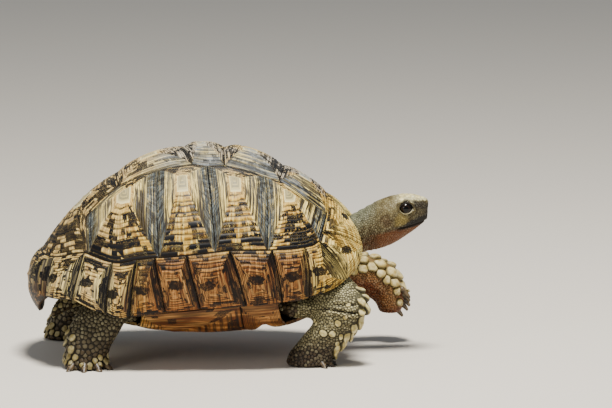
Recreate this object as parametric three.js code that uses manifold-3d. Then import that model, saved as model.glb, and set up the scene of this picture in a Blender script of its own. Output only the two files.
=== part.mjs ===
// A leopard tortoise in mid-stride, life size: the scutes of the carapace and the plastron, the
// trunk, neck, head, eyes, tail and legs, each a closed solid of its own.
// Millimetres. +X is the way the head points, +Y is the tortoise's left and +Z is up. The floor
// is z = 0. Sizes here are measured from under the middle of the shell; at the end the whole
// animal moves so that the origin is under the middle of its box.

import * as THREE from "three";
import { mergeVertices } from "three/addons/utils/BufferGeometryUtils.js";
import Module from "manifold-3d";

const wasm = await Module();
wasm.setup();

// ---------------------------------------------------------------- driving dimensions

// The carapace arches over this dome, whose surface is the level of the seams between the scutes.
const dome = {
  middle: 8,          // x of its highest point
  frontReach: 164,    // from there to where its ends would come down
  rearReach: 163,
  side: 112,          // half its width, at the base
  crown: 182.5,       // height of its top above the floor
  base: 48,           // height of its base along the sides
  frontLift: 32,      // how much higher the base is in front, over the neck
  planPower: 2.4,     // squareness seen from above
  endFall: 0.76,      // fullness of the fore and aft slopes
  sideFall: 0.66,     // fullness of the flanks
  endArch: 2,         // squareness of the arch seen from the side
  sideArch: 2.35,     // and seen from the front
};

const seamGap = 0.6;           // between neighbouring scutes
const scuteThickness = 4.6;
const trunkDepth = 7.2;        // from the seams down to the trunk inside
const fleshGap = 0.35;         // where flesh pieces meet

// Where the seams between the marginals run, from the front midline round to the tail: their upper
// end on the dome (x and height) and their lower end on the rim (x, distance from the midline and
// height). The first and last lie on the midline, where the upper end is found from x alone.
const marginalSeams = [
  { x: 113, z: 0, rim: [128, 0, 127] },
  { x: 110, z: 118, rim: [145, 33, 101] },
  { x: 107, z: 111, rim: [131, 67, 77] },
  { x: 95, z: 107, rim: [99, 86, 64] },
  { x: 67, z: 106, rim: [76, 93, 61] },
  { x: 31, z: 106, rim: [45, 97, 58] },
  { x: -6, z: 102, rim: [6, 98, 56] },
  { x: -33, z: 100, rim: [-24, 98, 53] },
  { x: -48, z: 98, rim: [-54, 97, 49] },
  { x: -69, z: 95, rim: [-75, 97, 52] },
  { x: -94, z: 101, rim: [-104, 90, 63] },
  { x: -121, z: 94, rim: [-128, 60, 60] },
  { x: -134, z: 0, rim: [-136, 0, 39] },
];
const marginalsPerSide = 11;
const seamCount = 2 * (marginalSeams.length - 1);

// Where the seams of the costals and the first and last vertebral meet the marginals, counted in
// marginals from the front midline.
const costalEnds = [0.62, 4.12, 5.32, 6.82, 9.88];

// Corners along the top of the costals: x and distance from the midline.
const costalTops = [[61, 46], [11, 45], [-31, 44]];
const vertebralEnds = [[73, 43], [26, 43], [-2, 42], [-65, 43]];
const lastVertebralShoulder = [-92, 50];
const vertebralSeamMiddles = [77, 24, -12, -69];

// The areola of each scute, the small plate it grew from.
const vertebralAreolae = [93, 45, 4, -40, -96];
const costalAreolae = [[79, 56], [34, 59], [-10, 59], [-58, 56]];

// How far each scute's areola stands above its seams, and its size as a share of the scute's.
const growth = {
  vertebral: [2.6, 4.2, 4.4, 2.8, 1.2],
  costal: 3.6,
  marginal: 1.9,
  supracaudal: 4.5,
  plastron: 0.8,
};
const areolaShare = { vertebral: 0.26, costal: 0.2, marginal: 0.24, supracaudal: 0.3, plastron: 0.3 };

// How far the rim bulges between seams: over the hind legs and elsewhere.
const rimFlare = { rear: 3.2, rest: 1.2, rearFrom: -50, tailWidth: 30 };

// The plastron: the heights of its underside.
const plastron = {
  low: 29.5,          // its lowest level above the floor
  lowAt: 12,          // x of that level
  frontRise: 0.0013,  // how it curves up forwards and backwards
  rearRise: 0.0012,
  keelEdge: 58,       // distance from the midline where the bridge starts to climb
  bridgeEdge: 91,     // and where it meets the marginals
  rimMiddle: 53.5,    // height of the bridge there, at x = 0
  rimSlope: 0.092,    // and how much higher that is for each millimetre forwards
  bridgeBend: 1.7,    // how late the bridge climbs
};

// Its scutes, one side: corners as x and distance from the midline, and the areola.
const plastronScutes = {
  gular: { corners: [[93, 0], [114, 0], [119, 13], [109, 25], [99, 34]], areola: [108, 11] },
  humeral: { corners: [[66, 0], [93, 0], [99, 34], [88, 48], [79, 57]], areola: [88, 38] },
  pectoral: { corners: [[52, 0], [66, 0], [79, 57], [72, 91], [40, 91]], areola: [60, 74] },
  abdominal: { corners: [[-30, 0], [52, 0], [40, 91], [-44, 91], [-50, 54]], areola: [-18, 56] },
  femoral: { corners: [[-68, 0], [-30, 0], [-50, 54], [-80, 45]], areola: [-62, 38] },
  anal: { corners: [[-86, 0], [-68, 0], [-80, 45], [-99, 24], [-97, 12]], areola: [-86, 20] },
};

// The lower edge of the trunk, just inside the plastron: x and distance from the midline.
const trunkSkirt = [
  [97, 0], [92, 26], [76, 48], [64, 70], [14, 74], [-32, 72], [-46, 50], [-70, 38], [-79, 0],
];
const trunkFloor = 7.8;        // above the underside of the plastron
const trunkLip = { front: 26, side: 6 };  // height of the trunk's lower corner over that floor

// ---------------------------------------------------------------- finishes

const scuteFinish = new THREE.MeshStandardMaterial({ color: 0xb59a63, roughness: 0.55, metalness: 0 });
const plastronFinish = new THREE.MeshStandardMaterial({ color: 0xa67a45, roughness: 0.6, metalness: 0 });
const skinFinish = new THREE.MeshStandardMaterial({ color: 0x77705a, roughness: 0.8, metalness: 0 });
const eyeFinish = new THREE.MeshStandardMaterial({ color: 0x0c0a08, roughness: 0.1, metalness: 0 });

// ---------------------------------------------------------------- small helpers

const vector = (x, y, z) => new THREE.Vector3(x, y, z);
const mirrored = (p) => vector(p.x, -p.y, p.z);
const mix = THREE.MathUtils.lerp;

// A closed solid from points and triangles, turned so that its faces point outwards.
function solid(points, triangles) {
  let volume = 0;
  for (const [a, b, c] of triangles) {
    volume += points[a].dot(vector(0, 0, 0).crossVectors(points[b], points[c]));
  }
  const order = volume < 0 ? ([a, b, c]) => [a, c, b] : (triangle) => triangle;
  const geometry = new THREE.BufferGeometry().setFromPoints(points);
  geometry.setIndex(triangles.flatMap(order));
  return geometry;
}

// Two triangles for each step between two rings of points that start at the given numbers, split
// along the shorter way across.
function ringFaces(points, first, second, count) {
  const faces = [];
  for (let i = 0; i < count; i += 1) {
    const [a, b] = [first + i, first + ((i + 1) % count)];
    const [c, d] = [second + ((i + 1) % count), second + i];
    if (points[a].distanceTo(points[c]) <= points[b].distanceTo(points[d])) faces.push([a, b, c], [a, c, d]);
    else faces.push([a, b, d], [b, c, d]);
  }
  return faces;
}

// A fan of triangles from a ring to one point.
function fanFaces(ring, tip, count) {
  return Array.from({ length: count }, (_, i) => [ring + i, ring + ((i + 1) % count), tip]);
}

function toManifold(geometry) {
  const bare = geometry.clone();
  bare.deleteAttribute("normal");
  bare.deleteAttribute("uv");
  const merged = mergeVertices(bare, 1e-4);
  return new wasm.Manifold(new wasm.Mesh({
    numProp: 3,
    vertProperties: new Float32Array(merged.attributes.position.array),
    triVerts: new Uint32Array(merged.index.array),
  }));
}

function toGeometry(manifold) {
  const mesh = manifold.getMesh();
  const geometry = new THREE.BufferGeometry();
  geometry.setAttribute("position", new THREE.BufferAttribute(new Float32Array(mesh.vertProperties), 3));
  geometry.setIndex(new THREE.BufferAttribute(new Uint32Array(mesh.triVerts), 1));
  return geometry;
}

const tortoise = new THREE.Group();

function addPiece(name, geometry, finish) {
  geometry.computeVertexNormals();
  const piece = new THREE.Mesh(geometry, finish.clone());
  piece.name = name;
  tortoise.add(piece);
}

// ---------------------------------------------------------------- the dome of the carapace

const domeBase = (x) => dome.base + dome.frontLift * Math.max(0, (x - dome.middle) / dome.frontReach) ** 2;

// Below 1 inside the dome, 1 on it and above 1 outside.
function domeLevel(p) {
  const reach = p.x > dome.middle ? dome.frontReach : dome.rearReach;
  const along = Math.abs((p.x - dome.middle) / reach) ** dome.planPower;
  const across = Math.abs(p.y / dome.side) ** dome.planPower;
  const endShare = along / (along + across + 1e-9);
  const arch = mix(dome.sideArch, dome.endArch, endShare);
  const fall = mix(dome.sideFall, dome.endFall, endShare);
  const plan = (along + across) ** (arch / dome.planPower);
  const base = domeBase(p.x);
  const rise = Math.max(0, (p.z - base) / (dome.crown - base));
  return plan + rise ** (1 / fall);
}

// The point of the dome on the ray through p from a point low inside the shell.
function ontoDome(p) {
  const from = vector(mix(dome.middle, p.x, 0.5), 0, 70);
  const ray = p.clone().sub(from);
  let near = 0;
  let far = 3;
  for (let i = 0; i < 40; i += 1) {
    const reach = (near + far) / 2;
    if (domeLevel(from.clone().addScaledVector(ray, reach)) < 1) near = reach;
    else far = reach;
  }
  return from.addScaledVector(ray, near);
}

// The outward direction of the dome at p.
function domeNormal(p) {
  const step = 0.05;
  const slope = (axis) => {
    const ahead = p.clone().addScaledVector(axis, step);
    const behind = p.clone().addScaledVector(axis, -step);
    return domeLevel(ahead) - domeLevel(behind);
  };
  return vector(slope(vector(1, 0, 0)), slope(vector(0, 1, 0)), slope(vector(0, 0, 1))).normalize();
}

// The point of the dome above x at a distance from the midline.
function domeAbove(x, y) {
  let low = domeBase(x);
  let high = dome.crown;
  for (let i = 0; i < 40; i += 1) {
    const z = (low + high) / 2;
    if (domeLevel(vector(x, y, z)) < 1) low = z;
    else high = z;
  }
  return vector(x, y, low);
}

// The point of the dome's right flank at x and a height.
function domeBeside(x, z) {
  let near = 0;
  let far = dome.side;
  for (let i = 0; i < 40; i += 1) {
    const y = (near + far) / 2;
    if (domeLevel(vector(x, y, z)) < 1) near = y;
    else far = y;
  }
  return vector(x, -near, z);
}

// ---------------------------------------------------------------- the ring of marginals

// One turn of seam ends, down the right side from the front midline and back up the left.
function closedTurn(points) {
  const left = points.slice(1, -1).reverse().map(mirrored);
  return new THREE.CatmullRomCurve3([...points, ...left], true, "catmullrom", 0.5);
}

const upperTurn = closedTurn(marginalSeams.map(({ x, z }) => (z ? domeBeside(x, z) : domeAbove(x, 0))));
const rimTurn = closedTurn(marginalSeams.map(({ rim }) => vector(rim[0], -rim[1], rim[2])));
const turnShare = (u) => (((u % seamCount) + seamCount) % seamCount) / seamCount;
const upperRing = (u) => ontoDome(upperTurn.getPoint(turnShare(u)));

// The rim bulges between seams, most on the flared scutes over the hind legs.
function rimRing(u) {
  const place = rimTurn.getPoint(turnShare(u));
  const isFlared = place.x < rimFlare.rearFrom && Math.abs(place.y) > rimFlare.tailWidth;
  const flare = isFlared ? rimFlare.rear : rimFlare.rest;
  const swell = flare * Math.sin(Math.PI * (u - Math.floor(u)));
  const outward = vector(place.x * 0.5, place.y, -40).normalize();
  return place.addScaledVector(outward, swell);
}

// The surface of the marginals at u seams round from the front and a share t of the way down.
function marginalPoint(u, t) {
  const top = upperRing(u);
  const bottom = rimRing(u);
  const normal = domeNormal(top);
  const down = bottom.clone().sub(top);
  const reach = down.length();
  down.addScaledVector(normal, -down.dot(normal)).setLength(reach * 0.5);
  const bend = top.clone().add(down);
  return new THREE.QuadraticBezierCurve3(top, bend, bottom).getPoint(t);
}

function marginalNormal(u, t) {
  const step = 0.02;
  const round = marginalPoint(u + step, t).sub(marginalPoint(u - step, t));
  const down = marginalPoint(u, Math.min(1, t + step)).sub(marginalPoint(u, Math.max(0, t - step)));
  return vector(0, 0, 0).crossVectors(round, down).normalize();
}

// ---------------------------------------------------------------- sheets that scutes lie on

// A sheet turns a place, given as a vector, into a point and an outward direction.
const domeSheet = (place) => {
  const point = ontoDome(place);
  return { point, normal: domeNormal(point) };
};
const marginalSheet = (place) => ({
  point: marginalPoint(place.x, place.y),
  normal: marginalNormal(place.x, place.y),
});

function plastronHeight(x, y) {
  const rise = x > plastron.lowAt ? plastron.frontRise : plastron.rearRise;
  const floor = plastron.low + rise * (x - plastron.lowAt) ** 2;
  const climb = Math.max(0, Math.abs(y) - plastron.keelEdge) / (plastron.bridgeEdge - plastron.keelEdge);
  const edge = plastron.rimMiddle + plastron.rimSlope * x;
  return floor + (edge - floor) * climb ** plastron.bridgeBend;
}

const plastronSheet = (place) => {
  const { x, y } = place;
  const step = 0.5;
  const slopeX = (plastronHeight(x + step, y) - plastronHeight(x - step, y)) / (2 * step);
  const slopeY = (plastronHeight(x, y + step) - plastronHeight(x, y - step)) / (2 * step);
  return {
    point: vector(x, y, plastronHeight(x, y)),
    normal: vector(slopeX, slopeY, -1).normalize(),
  };
};

// ---------------------------------------------------------------- one scute

// Rings from the seam up to the areola: the share of the way in and of the full growth there.
const archedRings = [[0, 0], [0.09, 0.26], [0.42, 0.7], [0.84, 1]];
const flatRings = [[0, 0], [0.14, 0.7], [0.6, 1]];

// The middle of a closed outline, each edge counting by its length.
function outlineMiddle(outline) {
  const middle = vector(0, 0, 0);
  let round = 0;
  outline.forEach((place, i) => {
    const next = outline[(i + 1) % outline.length];
    const length = place.distanceTo(next);
    middle.add(place.clone().add(next).multiplyScalar(length / 2));
    round += length;
  });
  return middle.divideScalar(round);
}

// A scute over an outline of places on a sheet. It rises in rings from the seams to the areola,
// has side walls along the sheet's own direction and a hollow underside one thickness down.
function scuteGeometry(sheet, outline, areola, { rings, rise, share, curved }) {
  const count = outline.length;
  const border = outline.map(sheet);
  const middle = outlineMiddle(outline);
  const inner = outline.map((place) => place.clone().sub(middle).multiplyScalar(share).add(areola));
  const points = [];
  const triangles = [];

  const inset = border.map(({ point, normal }, i) => {
    const before = border[(i + count - 1) % count].point;
    const after = border[(i + 1) % count].point;
    const inward = vector(0, 0, 0).crossVectors(normal, after.clone().sub(before)).normalize();
    const centre = sheet(areola).point;
    if (inward.dot(centre.sub(point)) < 0) inward.negate();
    return inward.multiplyScalar(seamGap / 2);
  });

  for (const [way, growthShare] of rings) {
    outline.forEach((place, i) => {
      const { point, normal } = way === 0 ? border[i] : sheet(place.clone().lerp(inner[i], way));
      const raised = point.clone().addScaledVector(normal, rise * growthShare);
      points.push(raised.addScaledVector(inset[i], 1 - way));
    });
  }
  for (let i = 0; i + 1 < rings.length; i += 1) {
    triangles.push(...ringFaces(points, i * count, (i + 1) * count, count));
  }
  const crown = sheet(areola);
  points.push(crown.point.clone().addScaledVector(crown.normal, rise));
  triangles.push(...fanFaces((rings.length - 1) * count, points.length - 1, count));

  const under = points.length;
  border.forEach(({ point, normal }, i) => {
    points.push(point.clone().addScaledVector(normal, -scuteThickness).add(inset[i]));
  });
  triangles.push(...ringFaces(points, under, 0, count));
  let fanFrom = under;
  if (curved) {
    fanFrom = points.length;
    outline.forEach((place, i) => {
      const { point, normal } = sheet(place.clone().lerp(inner[i], 0.5));
      points.push(point.clone().addScaledVector(normal, -scuteThickness));
    });
    triangles.push(...ringFaces(points, fanFrom, under, count));
  }
  const floor = sheet(middle.clone().lerp(areola, 0.8));
  points.push(floor.point.clone().addScaledVector(floor.normal, -scuteThickness));
  triangles.push(...fanFaces(fanFrom, points.length - 1, count).map(([a, b, c]) => [b, a, c]));
  return solid(points, triangles);
}

// Steps between two places, the first one included, the same whichever scute asks for them.
function edgeSteps(from, to, longest) {
  const steps = Math.max(1, Math.round(from.distanceTo(to) / longest));
  return Array.from({ length: steps }, (_, i) => from.clone().lerp(to, i / steps));
}

function polygon(corners, longest) {
  return corners.flatMap((corner, i) => edgeSteps(corner, corners[(i + 1) % corners.length], longest));
}

// The stops along a marginal's upper edge: thirds, with the end of a costal seam taking the place
// of the nearest.
function ringStops(marginal) {
  const stops = [0, 1 / 3, 2 / 3].map((share) => marginal + share);
  const ends = [...costalEnds, ...costalEnds.map((end) => seamCount - end)];
  for (const end of ends.filter((value) => Math.floor(value) === marginal)) {
    const nearest = end - marginal < 0.5 ? 1 : 2;
    stops[nearest] = end;
  }
  return stops;
}

const allStops = Array.from({ length: seamCount }, (_, marginal) => ringStops(marginal)).flat();

// The stops from one to another round the ring, both included.
const stopsBetween = (from, to) => allStops.filter((stop) => stop > from - 1e-6 && stop < to + 1e-6);

// ---------------------------------------------------------------- carapace

const scuteStep = 19;

function addVertebrals() {
  const side = (places, sign) => places.map(([x, y]) => domeAbove(x, sign * y));
  for (let i = 0; i < 5; i += 1) {
    const right = [];
    if (i > 0) right.push(vertebralEnds[i - 1]);
    if (i > 0 && i < 4) right.push(costalTops[i - 1]);
    if (i === 4) right.push(lastVertebralShoulder);
    if (i < 4) right.push(vertebralEnds[i]);
    const corners = [];
    if (i > 0) corners.push(domeAbove(vertebralSeamMiddles[i - 1], 0));
    corners.push(...side(right, -1));
    if (i < 4) corners.push(domeAbove(vertebralSeamMiddles[i], 0));
    const left = side(right, 1).reverse();
    let outline;
    if (i === 0) {
      const front = stopsBetween(seamCount - costalEnds[0], seamCount + 1)
        .concat(stopsBetween(0, costalEnds[0])).map(upperRing);
      const chain = [front.at(-1), ...corners, ...left, front[0]];
      const rest = chain.slice(0, -1).flatMap((corner, k) => edgeSteps(corner, chain[k + 1], scuteStep));
      outline = [...front.slice(0, -1), ...rest];
    } else if (i === 4) {
      const rear = stopsBetween(costalEnds[4], seamCount - costalEnds[4]).map(upperRing);
      const chain = [rear.at(-1), ...left, ...corners, rear[0]];
      const rest = chain.slice(0, -1).flatMap((corner, k) => edgeSteps(corner, chain[k + 1], scuteStep));
      outline = [...rear.slice(0, -1), ...rest];
    } else {
      outline = polygon([...corners, ...left], scuteStep);
    }
    const form = {
      rings: archedRings,
      rise: growth.vertebral[i],
      share: areolaShare.vertebral,
      curved: true,
    };
    const areola = domeAbove(vertebralAreolae[i], 0);
    addPiece(`vertebral_${i + 1}`, scuteGeometry(domeSheet, outline, areola, form), scuteFinish);
  }
}

function costalOutline(i) {
  const tops = [
    [vertebralEnds[0], costalTops[0]],
    [costalTops[0], vertebralEnds[1], costalTops[1]],
    [costalTops[1], vertebralEnds[2], costalTops[2]],
    [costalTops[2], vertebralEnds[3], lastVertebralShoulder],
  ][i].map(([x, y]) => domeAbove(x, -y));
  const bottom = stopsBetween(costalEnds[i], costalEnds[i + 1]).map(upperRing);
  const chain = [bottom[0], ...tops, bottom.at(-1)];
  const upper = chain.slice(0, -1).flatMap((corner, k) => edgeSteps(corner, chain[k + 1], scuteStep));
  return [...upper, ...bottom.slice(1).reverse()];
}

function addCostals() {
  const form = { rings: archedRings, rise: growth.costal, share: areolaShare.costal, curved: true };
  for (let i = 0; i < 4; i += 1) {
    const outline = costalOutline(i);
    const areola = domeAbove(costalAreolae[i][0], -costalAreolae[i][1]);
    const right = scuteGeometry(domeSheet, outline, areola, form);
    const left = scuteGeometry(domeSheet, outline.map(mirrored), mirrored(areola), form);
    addPiece(`costal_${i + 1}_right`, right, scuteFinish);
    addPiece(`costal_${i + 1}_left`, left, scuteFinish);
  }
}

function marginalOutline(from, to) {
  const top = stopsBetween(from, to);
  return [
    ...top.map((u) => vector(u, 0, 0)),
    vector(to, 0.5, 0),
    ...top.map((u) => vector(u, 1, 0)).reverse(),
    vector(from, 0.5, 0),
  ];
}

function addMarginals() {
  const form = { rings: archedRings, rise: growth.marginal, share: areolaShare.marginal, curved: false };
  for (let i = 0; i < marginalsPerSide; i += 1) {
    const right = marginalOutline(i, i + 1);
    const areola = vector(i + 0.62, 0.66, 0);
    const left = right.map((place) => vector(seamCount - place.x, place.y, 0));
    const leftAreola = vector(seamCount - areola.x, areola.y, 0);
    addPiece(`marginal_${i + 1}_right`, scuteGeometry(marginalSheet, right, areola, form), scuteFinish);
    addPiece(`marginal_${i + 1}_left`, scuteGeometry(marginalSheet, left, leftAreola, form), scuteFinish);
  }
  const tail = { ...form, rise: growth.supracaudal, share: areolaShare.supracaudal, curved: true };
  const outline = marginalOutline(marginalsPerSide, marginalsPerSide + 2);
  const areola = vector(marginalsPerSide + 1, 0.45, 0);
  addPiece("supracaudal", scuteGeometry(marginalSheet, outline, areola, tail), scuteFinish);
}

// ---------------------------------------------------------------- plastron

const plastronStep = 34;
const bridgeStep = 18;

function addPlastron() {
  for (const [name, { corners, areola }] of Object.entries(plastronScutes)) {
    const curved = corners.some(([, y]) => y > plastron.keelEdge);
    const form = { rings: flatRings, rise: growth.plastron, share: areolaShare.plastron, curved };
    const place = (side) => ([x, y]) => vector(x, side * y, 0);
    for (const [hand, side] of [["right", -1], ["left", 1]]) {
      const outline = polygon(corners.map(place(side)), curved ? bridgeStep : plastronStep);
      const plate = scuteGeometry(plastronSheet, outline, place(side)(areola), form);
      addPiece(`${name}_${hand}`, plate, plastronFinish);
    }
  }
}

// ---------------------------------------------------------------- flesh: rings and lofts

// A ring round `at`, square to `facing`, with half width `wide` along the hint's direction and
// half depth `deep` across it. `pinch` narrows its underside and `square` fills its corners.
function ring({ at, facing, hint, wide, deep, pinch = 0, square = 1 }, count) {
  const ahead = vector(...facing).normalize();
  const wideWay = vector(...hint).addScaledVector(ahead, -vector(...hint).dot(ahead)).normalize();
  const deepWay = vector(0, 0, 0).crossVectors(ahead, wideWay);
  if (deepWay.z < 0) deepWay.negate();
  return Array.from({ length: count }, (_, i) => {
    const angle = (2 * Math.PI * (i + 0.5)) / count;
    const fill = (value) => Math.sign(value) * Math.abs(value) ** (1 / square);
    const across = wide * fill(Math.cos(angle)) * (1 - pinch * Math.max(0, -Math.sin(angle)));
    const up = deep * fill(Math.sin(angle));
    return vector(...at).addScaledVector(wideWay, across).addScaledVector(deepWay, up);
  });
}

// A closed solid through rings of equal count, with a flat or pointed cap at each end.
function loft(rings) {
  const count = rings[0].length;
  const points = rings.flat();
  const triangles = [];
  for (let i = 0; i + 1 < rings.length; i += 1) {
    triangles.push(...ringFaces(points, i * count, (i + 1) * count, count));
  }
  const centre = (loop) => loop.reduce((sum, p) => sum.add(p), vector(0, 0, 0)).divideScalar(count);
  points.push(centre(rings[0]), centre(rings.at(-1)));
  triangles.push(...fanFaces(0, points.length - 2, count).map(([a, b, c]) => [b, a, c]));
  triangles.push(...fanFaces((rings.length - 1) * count, points.length - 1, count));
  return solid(points, triangles);
}

// Rings along a path of stations, each square to the way the path runs there.
function alongPath(stations, hint, count) {
  return stations.map((station, i) => {
    const before = vector(...stations[Math.max(0, i - 1)].at);
    const after = vector(...stations[Math.min(stations.length - 1, i + 1)].at);
    const facing = station.facing ?? after.sub(before).toArray();
    return ring({ ...station, facing, hint }, count);
  });
}

// The same solid, grown by a distance along its corners' own directions.
function grown(geometry, distance) {
  const bare = geometry.clone();
  bare.deleteAttribute("normal");
  const merged = mergeVertices(bare, 1e-4);
  merged.computeVertexNormals();
  const place = merged.attributes.position;
  const way = merged.attributes.normal;
  for (let i = 0; i < place.count; i += 1) {
    const moved = vector(0, 0, 0).fromBufferAttribute(place, i);
    moved.addScaledVector(vector(0, 0, 0).fromBufferAttribute(way, i), distance);
    place.setXYZ(i, moved.x, moved.y, moved.z);
  }
  merged.deleteAttribute("normal");
  return merged;
}

// ---------------------------------------------------------------- trunk

const trunkSides = 32;

// The trunk fills the shell: rows under the dome, behind the marginals and over the plastron.
function trunkGeometry() {
  const skirtTurn = closedTurn(trunkSkirt.map(([x, y]) => vector(x, -y, 0)));
  const top = vector(dome.middle, 0, dome.crown);
  const under = ({ point, normal }) => point.addScaledVector(normal, -trunkDepth);
  const domeShares = [0.3, 0.6, 0.84, 1];
  const rows = domeShares.map((share) => (u) => under(domeSheet(top.clone().lerp(upperRing(u), share))));
  const isLip = (u) => Math.cos((2 * Math.PI * u) / seamCount) ** 2 > 0.45;
  rows.push((u) => under(marginalSheet(vector(u, isLip(u) ? 0.16 : 0.6, 0))));
  const skirt = (u, share, lift) => {
    const { point, normal } = plastronSheet(skirtTurn.getPoint(turnShare(u)).multiplyScalar(share));
    return point.addScaledVector(normal, -trunkFloor).add(vector(0, 0, lift));
  };
  rows.push((u) => skirt(u, 1, isLip(u) ? trunkLip.front : trunkLip.side));
  rows.push((u) => skirt(u, 0.97, 0));
  rows.push((u) => skirt(u, 0.6, 0));
  const count = trunkSides;
  const turns = Array.from({ length: count }, (_, i) => (i * seamCount) / count);
  const points = rows.flatMap((row) => turns.map(row));
  const triangles = [];
  for (let i = 0; i + 1 < rows.length; i += 1) {
    triangles.push(...ringFaces(points, i * count, (i + 1) * count, count));
  }
  const floorHeight = plastronHeight(0, 0) + trunkFloor;
  points.push(vector(dome.middle, 0, dome.crown - trunkDepth), vector(0, 0, floorHeight));
  triangles.push(...fanFaces(0, points.length - 2, count).map(([a, b, c]) => [b, a, c]));
  triangles.push(...fanFaces((rows.length - 1) * count, points.length - 1, count));
  return solid(points, triangles);
}

// ---------------------------------------------------------------- head, neck and eyes

// Sections of the head from its back to the snout: x, height of the top and the underside, half
// width, how far the throat is pinched in and how square the section is.
const headSections = [
  [157.5, 136.5, 91.8, 18.6, 0.16, 1.05],
  [163, 138.5, 93.6, 19.2, 0.2, 1.1],
  [170, 140.8, 96.2, 19, 0.26, 1.15],
  [177, 142, 100, 18, 0.32, 1.2],
  [184, 142.6, 104.8, 16.4, 0.34, 1.2],
  [190.5, 142, 109.2, 13.6, 0.34, 1.15],
  [196.5, 140, 113.4, 10.2, 0.3, 1.1],
  [200.8, 136.6, 116.6, 7, 0.25, 1.1],
  [202.6, 131.5, 119.8, 4.2, 0.2, 1],
];
const neckStations = [
  { at: [88, 0, 84], wide: 16, deep: 14 },
  { at: [110, 0, 92], wide: 16.5, deep: 15.5 },
  { at: [130, 0, 101.5], wide: 17, deep: 17.2 },
  { at: [145, 0, 109], wide: 17.8, deep: 19, pinch: 0.1, facing: [1, 0, 0.18] },
  { at: [157.5 - fleshGap, 0, 114.15], wide: 18.6, deep: 22.35, pinch: 0.16, facing: [1, 0, 0] },
];
const eye = { at: [182.6, 10.6, 130.4], radius: 6.1, clearance: 0.35 };

function headGeometry() {
  const rings = headSections.map(([x, top, bottom, wide, pinch, square]) => ring({
    at: [x, 0, (top + bottom) / 2],
    facing: [1, 0, 0],
    hint: [0, 1, 0],
    wide,
    deep: (top - bottom) / 2,
    pinch,
    square,
  }, 16));
  return loft(rings);
}

function eyeball(side, radius) {
  const ball = new THREE.SphereGeometry(radius, 14, 10);
  ball.translate(eye.at[0], side * eye.at[1], eye.at[2]);
  return ball;
}

function addHeadAndNeck(trunk) {
  let head = toManifold(headGeometry());
  for (const side of [-1, 1]) {
    head = head.subtract(toManifold(eyeball(side, eye.radius + eye.clearance)));
    addPiece(side < 0 ? "eye_right" : "eye_left", eyeball(side, eye.radius), eyeFinish);
  }
  addPiece("head", toGeometry(head), skinFinish);
  const neck = loft(alongPath(neckStations, [0, 1, 0], 16));
  addPiece("neck", toGeometry(toManifold(neck).subtract(trunk)), skinFinish);
}

// ---------------------------------------------------------------- legs and tail

// Planted legs run down through level sections: x, distance from the midline, height, half length
// and half width. The last one is the flat sole.
const nearForeleg = {
  sections: [
    [104, 44, 88, 15, 12],
    [117, 53, 76, 18, 13.5],
    [126, 61, 62, 22.5, 15],
    [127, 64, 50, 23.5, 15.5],
    [123, 63, 38, 21.5, 15],
    [112, 60, 24, 21.5, 14.5],
    [101, 57, 11, 20.5, 15],
    [98, 56, 3, 20, 16],
    [98, 56, 0, 18.5, 14.5],
  ],
  claws: { from: -50, to: 55, number: 5, reach: [16.5, 13.5], length: 8, radius: 2.6 },
};
const nearHindleg = {
  sections: [
    [-52, 44, 84, 15, 14],
    [-64, 55, 66, 21, 16],
    [-78, 65, 48, 24, 17],
    [-86, 70, 33, 23.5, 17],
    [-91, 71, 20, 20.5, 16.5],
    [-93, 70, 9, 19, 16.5],
    [-93, 70, 2.5, 19.5, 17],
    [-93, 70, 0, 18, 15.5],
  ],
  claws: { from: -128, to: -22, number: 4, reach: [16.5, 15], length: 8.5, radius: 3.2 },
};
const farHindleg = {
  sections: [
    [-54, 44, 84, 15, 14],
    [-68, 56, 66, 20, 16],
    [-86, 68, 48, 22, 17],
    [-102, 76, 33, 20, 17],
    [-113, 81, 20, 18.5, 16.5],
    [-118, 83, 9, 18, 16],
    [-119, 83, 2.5, 18.5, 16.5],
    [-119, 83, 0, 17, 15],
  ],
  claws: { from: -30, to: 70, number: 4, reach: [15.5, 14], length: 8, radius: 3 },
};
// The raised foreleg runs forwards through sections square to its path, to a foot that hangs.
const farForeleg = {
  stations: [
    { at: [98, 40, 80], wide: 11, deep: 13 },
    { at: [118, 48, 70], wide: 12.5, deep: 15 },
    { at: [137, 55, 62.5], wide: 14, deep: 16.5 },
    { at: [150, 60, 61.5], wide: 14.5, deep: 18.8, facing: [1, 0.1, -0.25] },
    { at: [162, 63, 55], wide: 15, deep: 19.2, facing: [0.75, 0.05, -0.66] },
    { at: [169, 64, 45], wide: 15, deep: 15.8, facing: [0.45, 0, -0.9] },
    { at: [170.5, 64, 34], wide: 14.5, deep: 12.2, facing: [0.12, 0, -1] },
    { at: [170.5, 64, 27], wide: 12.5, deep: 10, facing: [0, 0, -1] },
  ],
  claws: { first: [179, 55, 49], last: [174, 74, 30.5], number: 5, length: 8, radius: 2.6 },
};
const tailStations = [
  { at: [-84, 0, 62], wide: 13, deep: 12 },
  { at: [-101, -2, 54], wide: 11, deep: 10 },
  { at: [-113, -6, 47], wide: 8.5, deep: 8 },
  { at: [-121, -11, 41], wide: 5.5, deep: 5.2 },
  { at: [-125, -15, 36], wide: 2.4, deep: 2.2 },
];

// A claw: three shrinking five-sided rings that droop towards a blunt tip.
function clawGeometry(at, heading, drop, length, radius) {
  const ahead = vector(Math.cos(heading), Math.sin(heading), 0);
  const station = (share, size, sink) => {
    const place = vector(...at).addScaledVector(ahead, length * share);
    return {
      at: [place.x, place.y, place.z - sink],
      wide: radius * size,
      deep: radius * size,
      facing: [ahead.x, ahead.y, -drop],
    };
  };
  const stations = [station(-0.35, 1, 0), station(0.4, 0.9, drop * 1.5), station(1, 0.22, drop * 4.4)];
  return loft(alongPath(stations, [0, 0, 1], 5));
}

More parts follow.
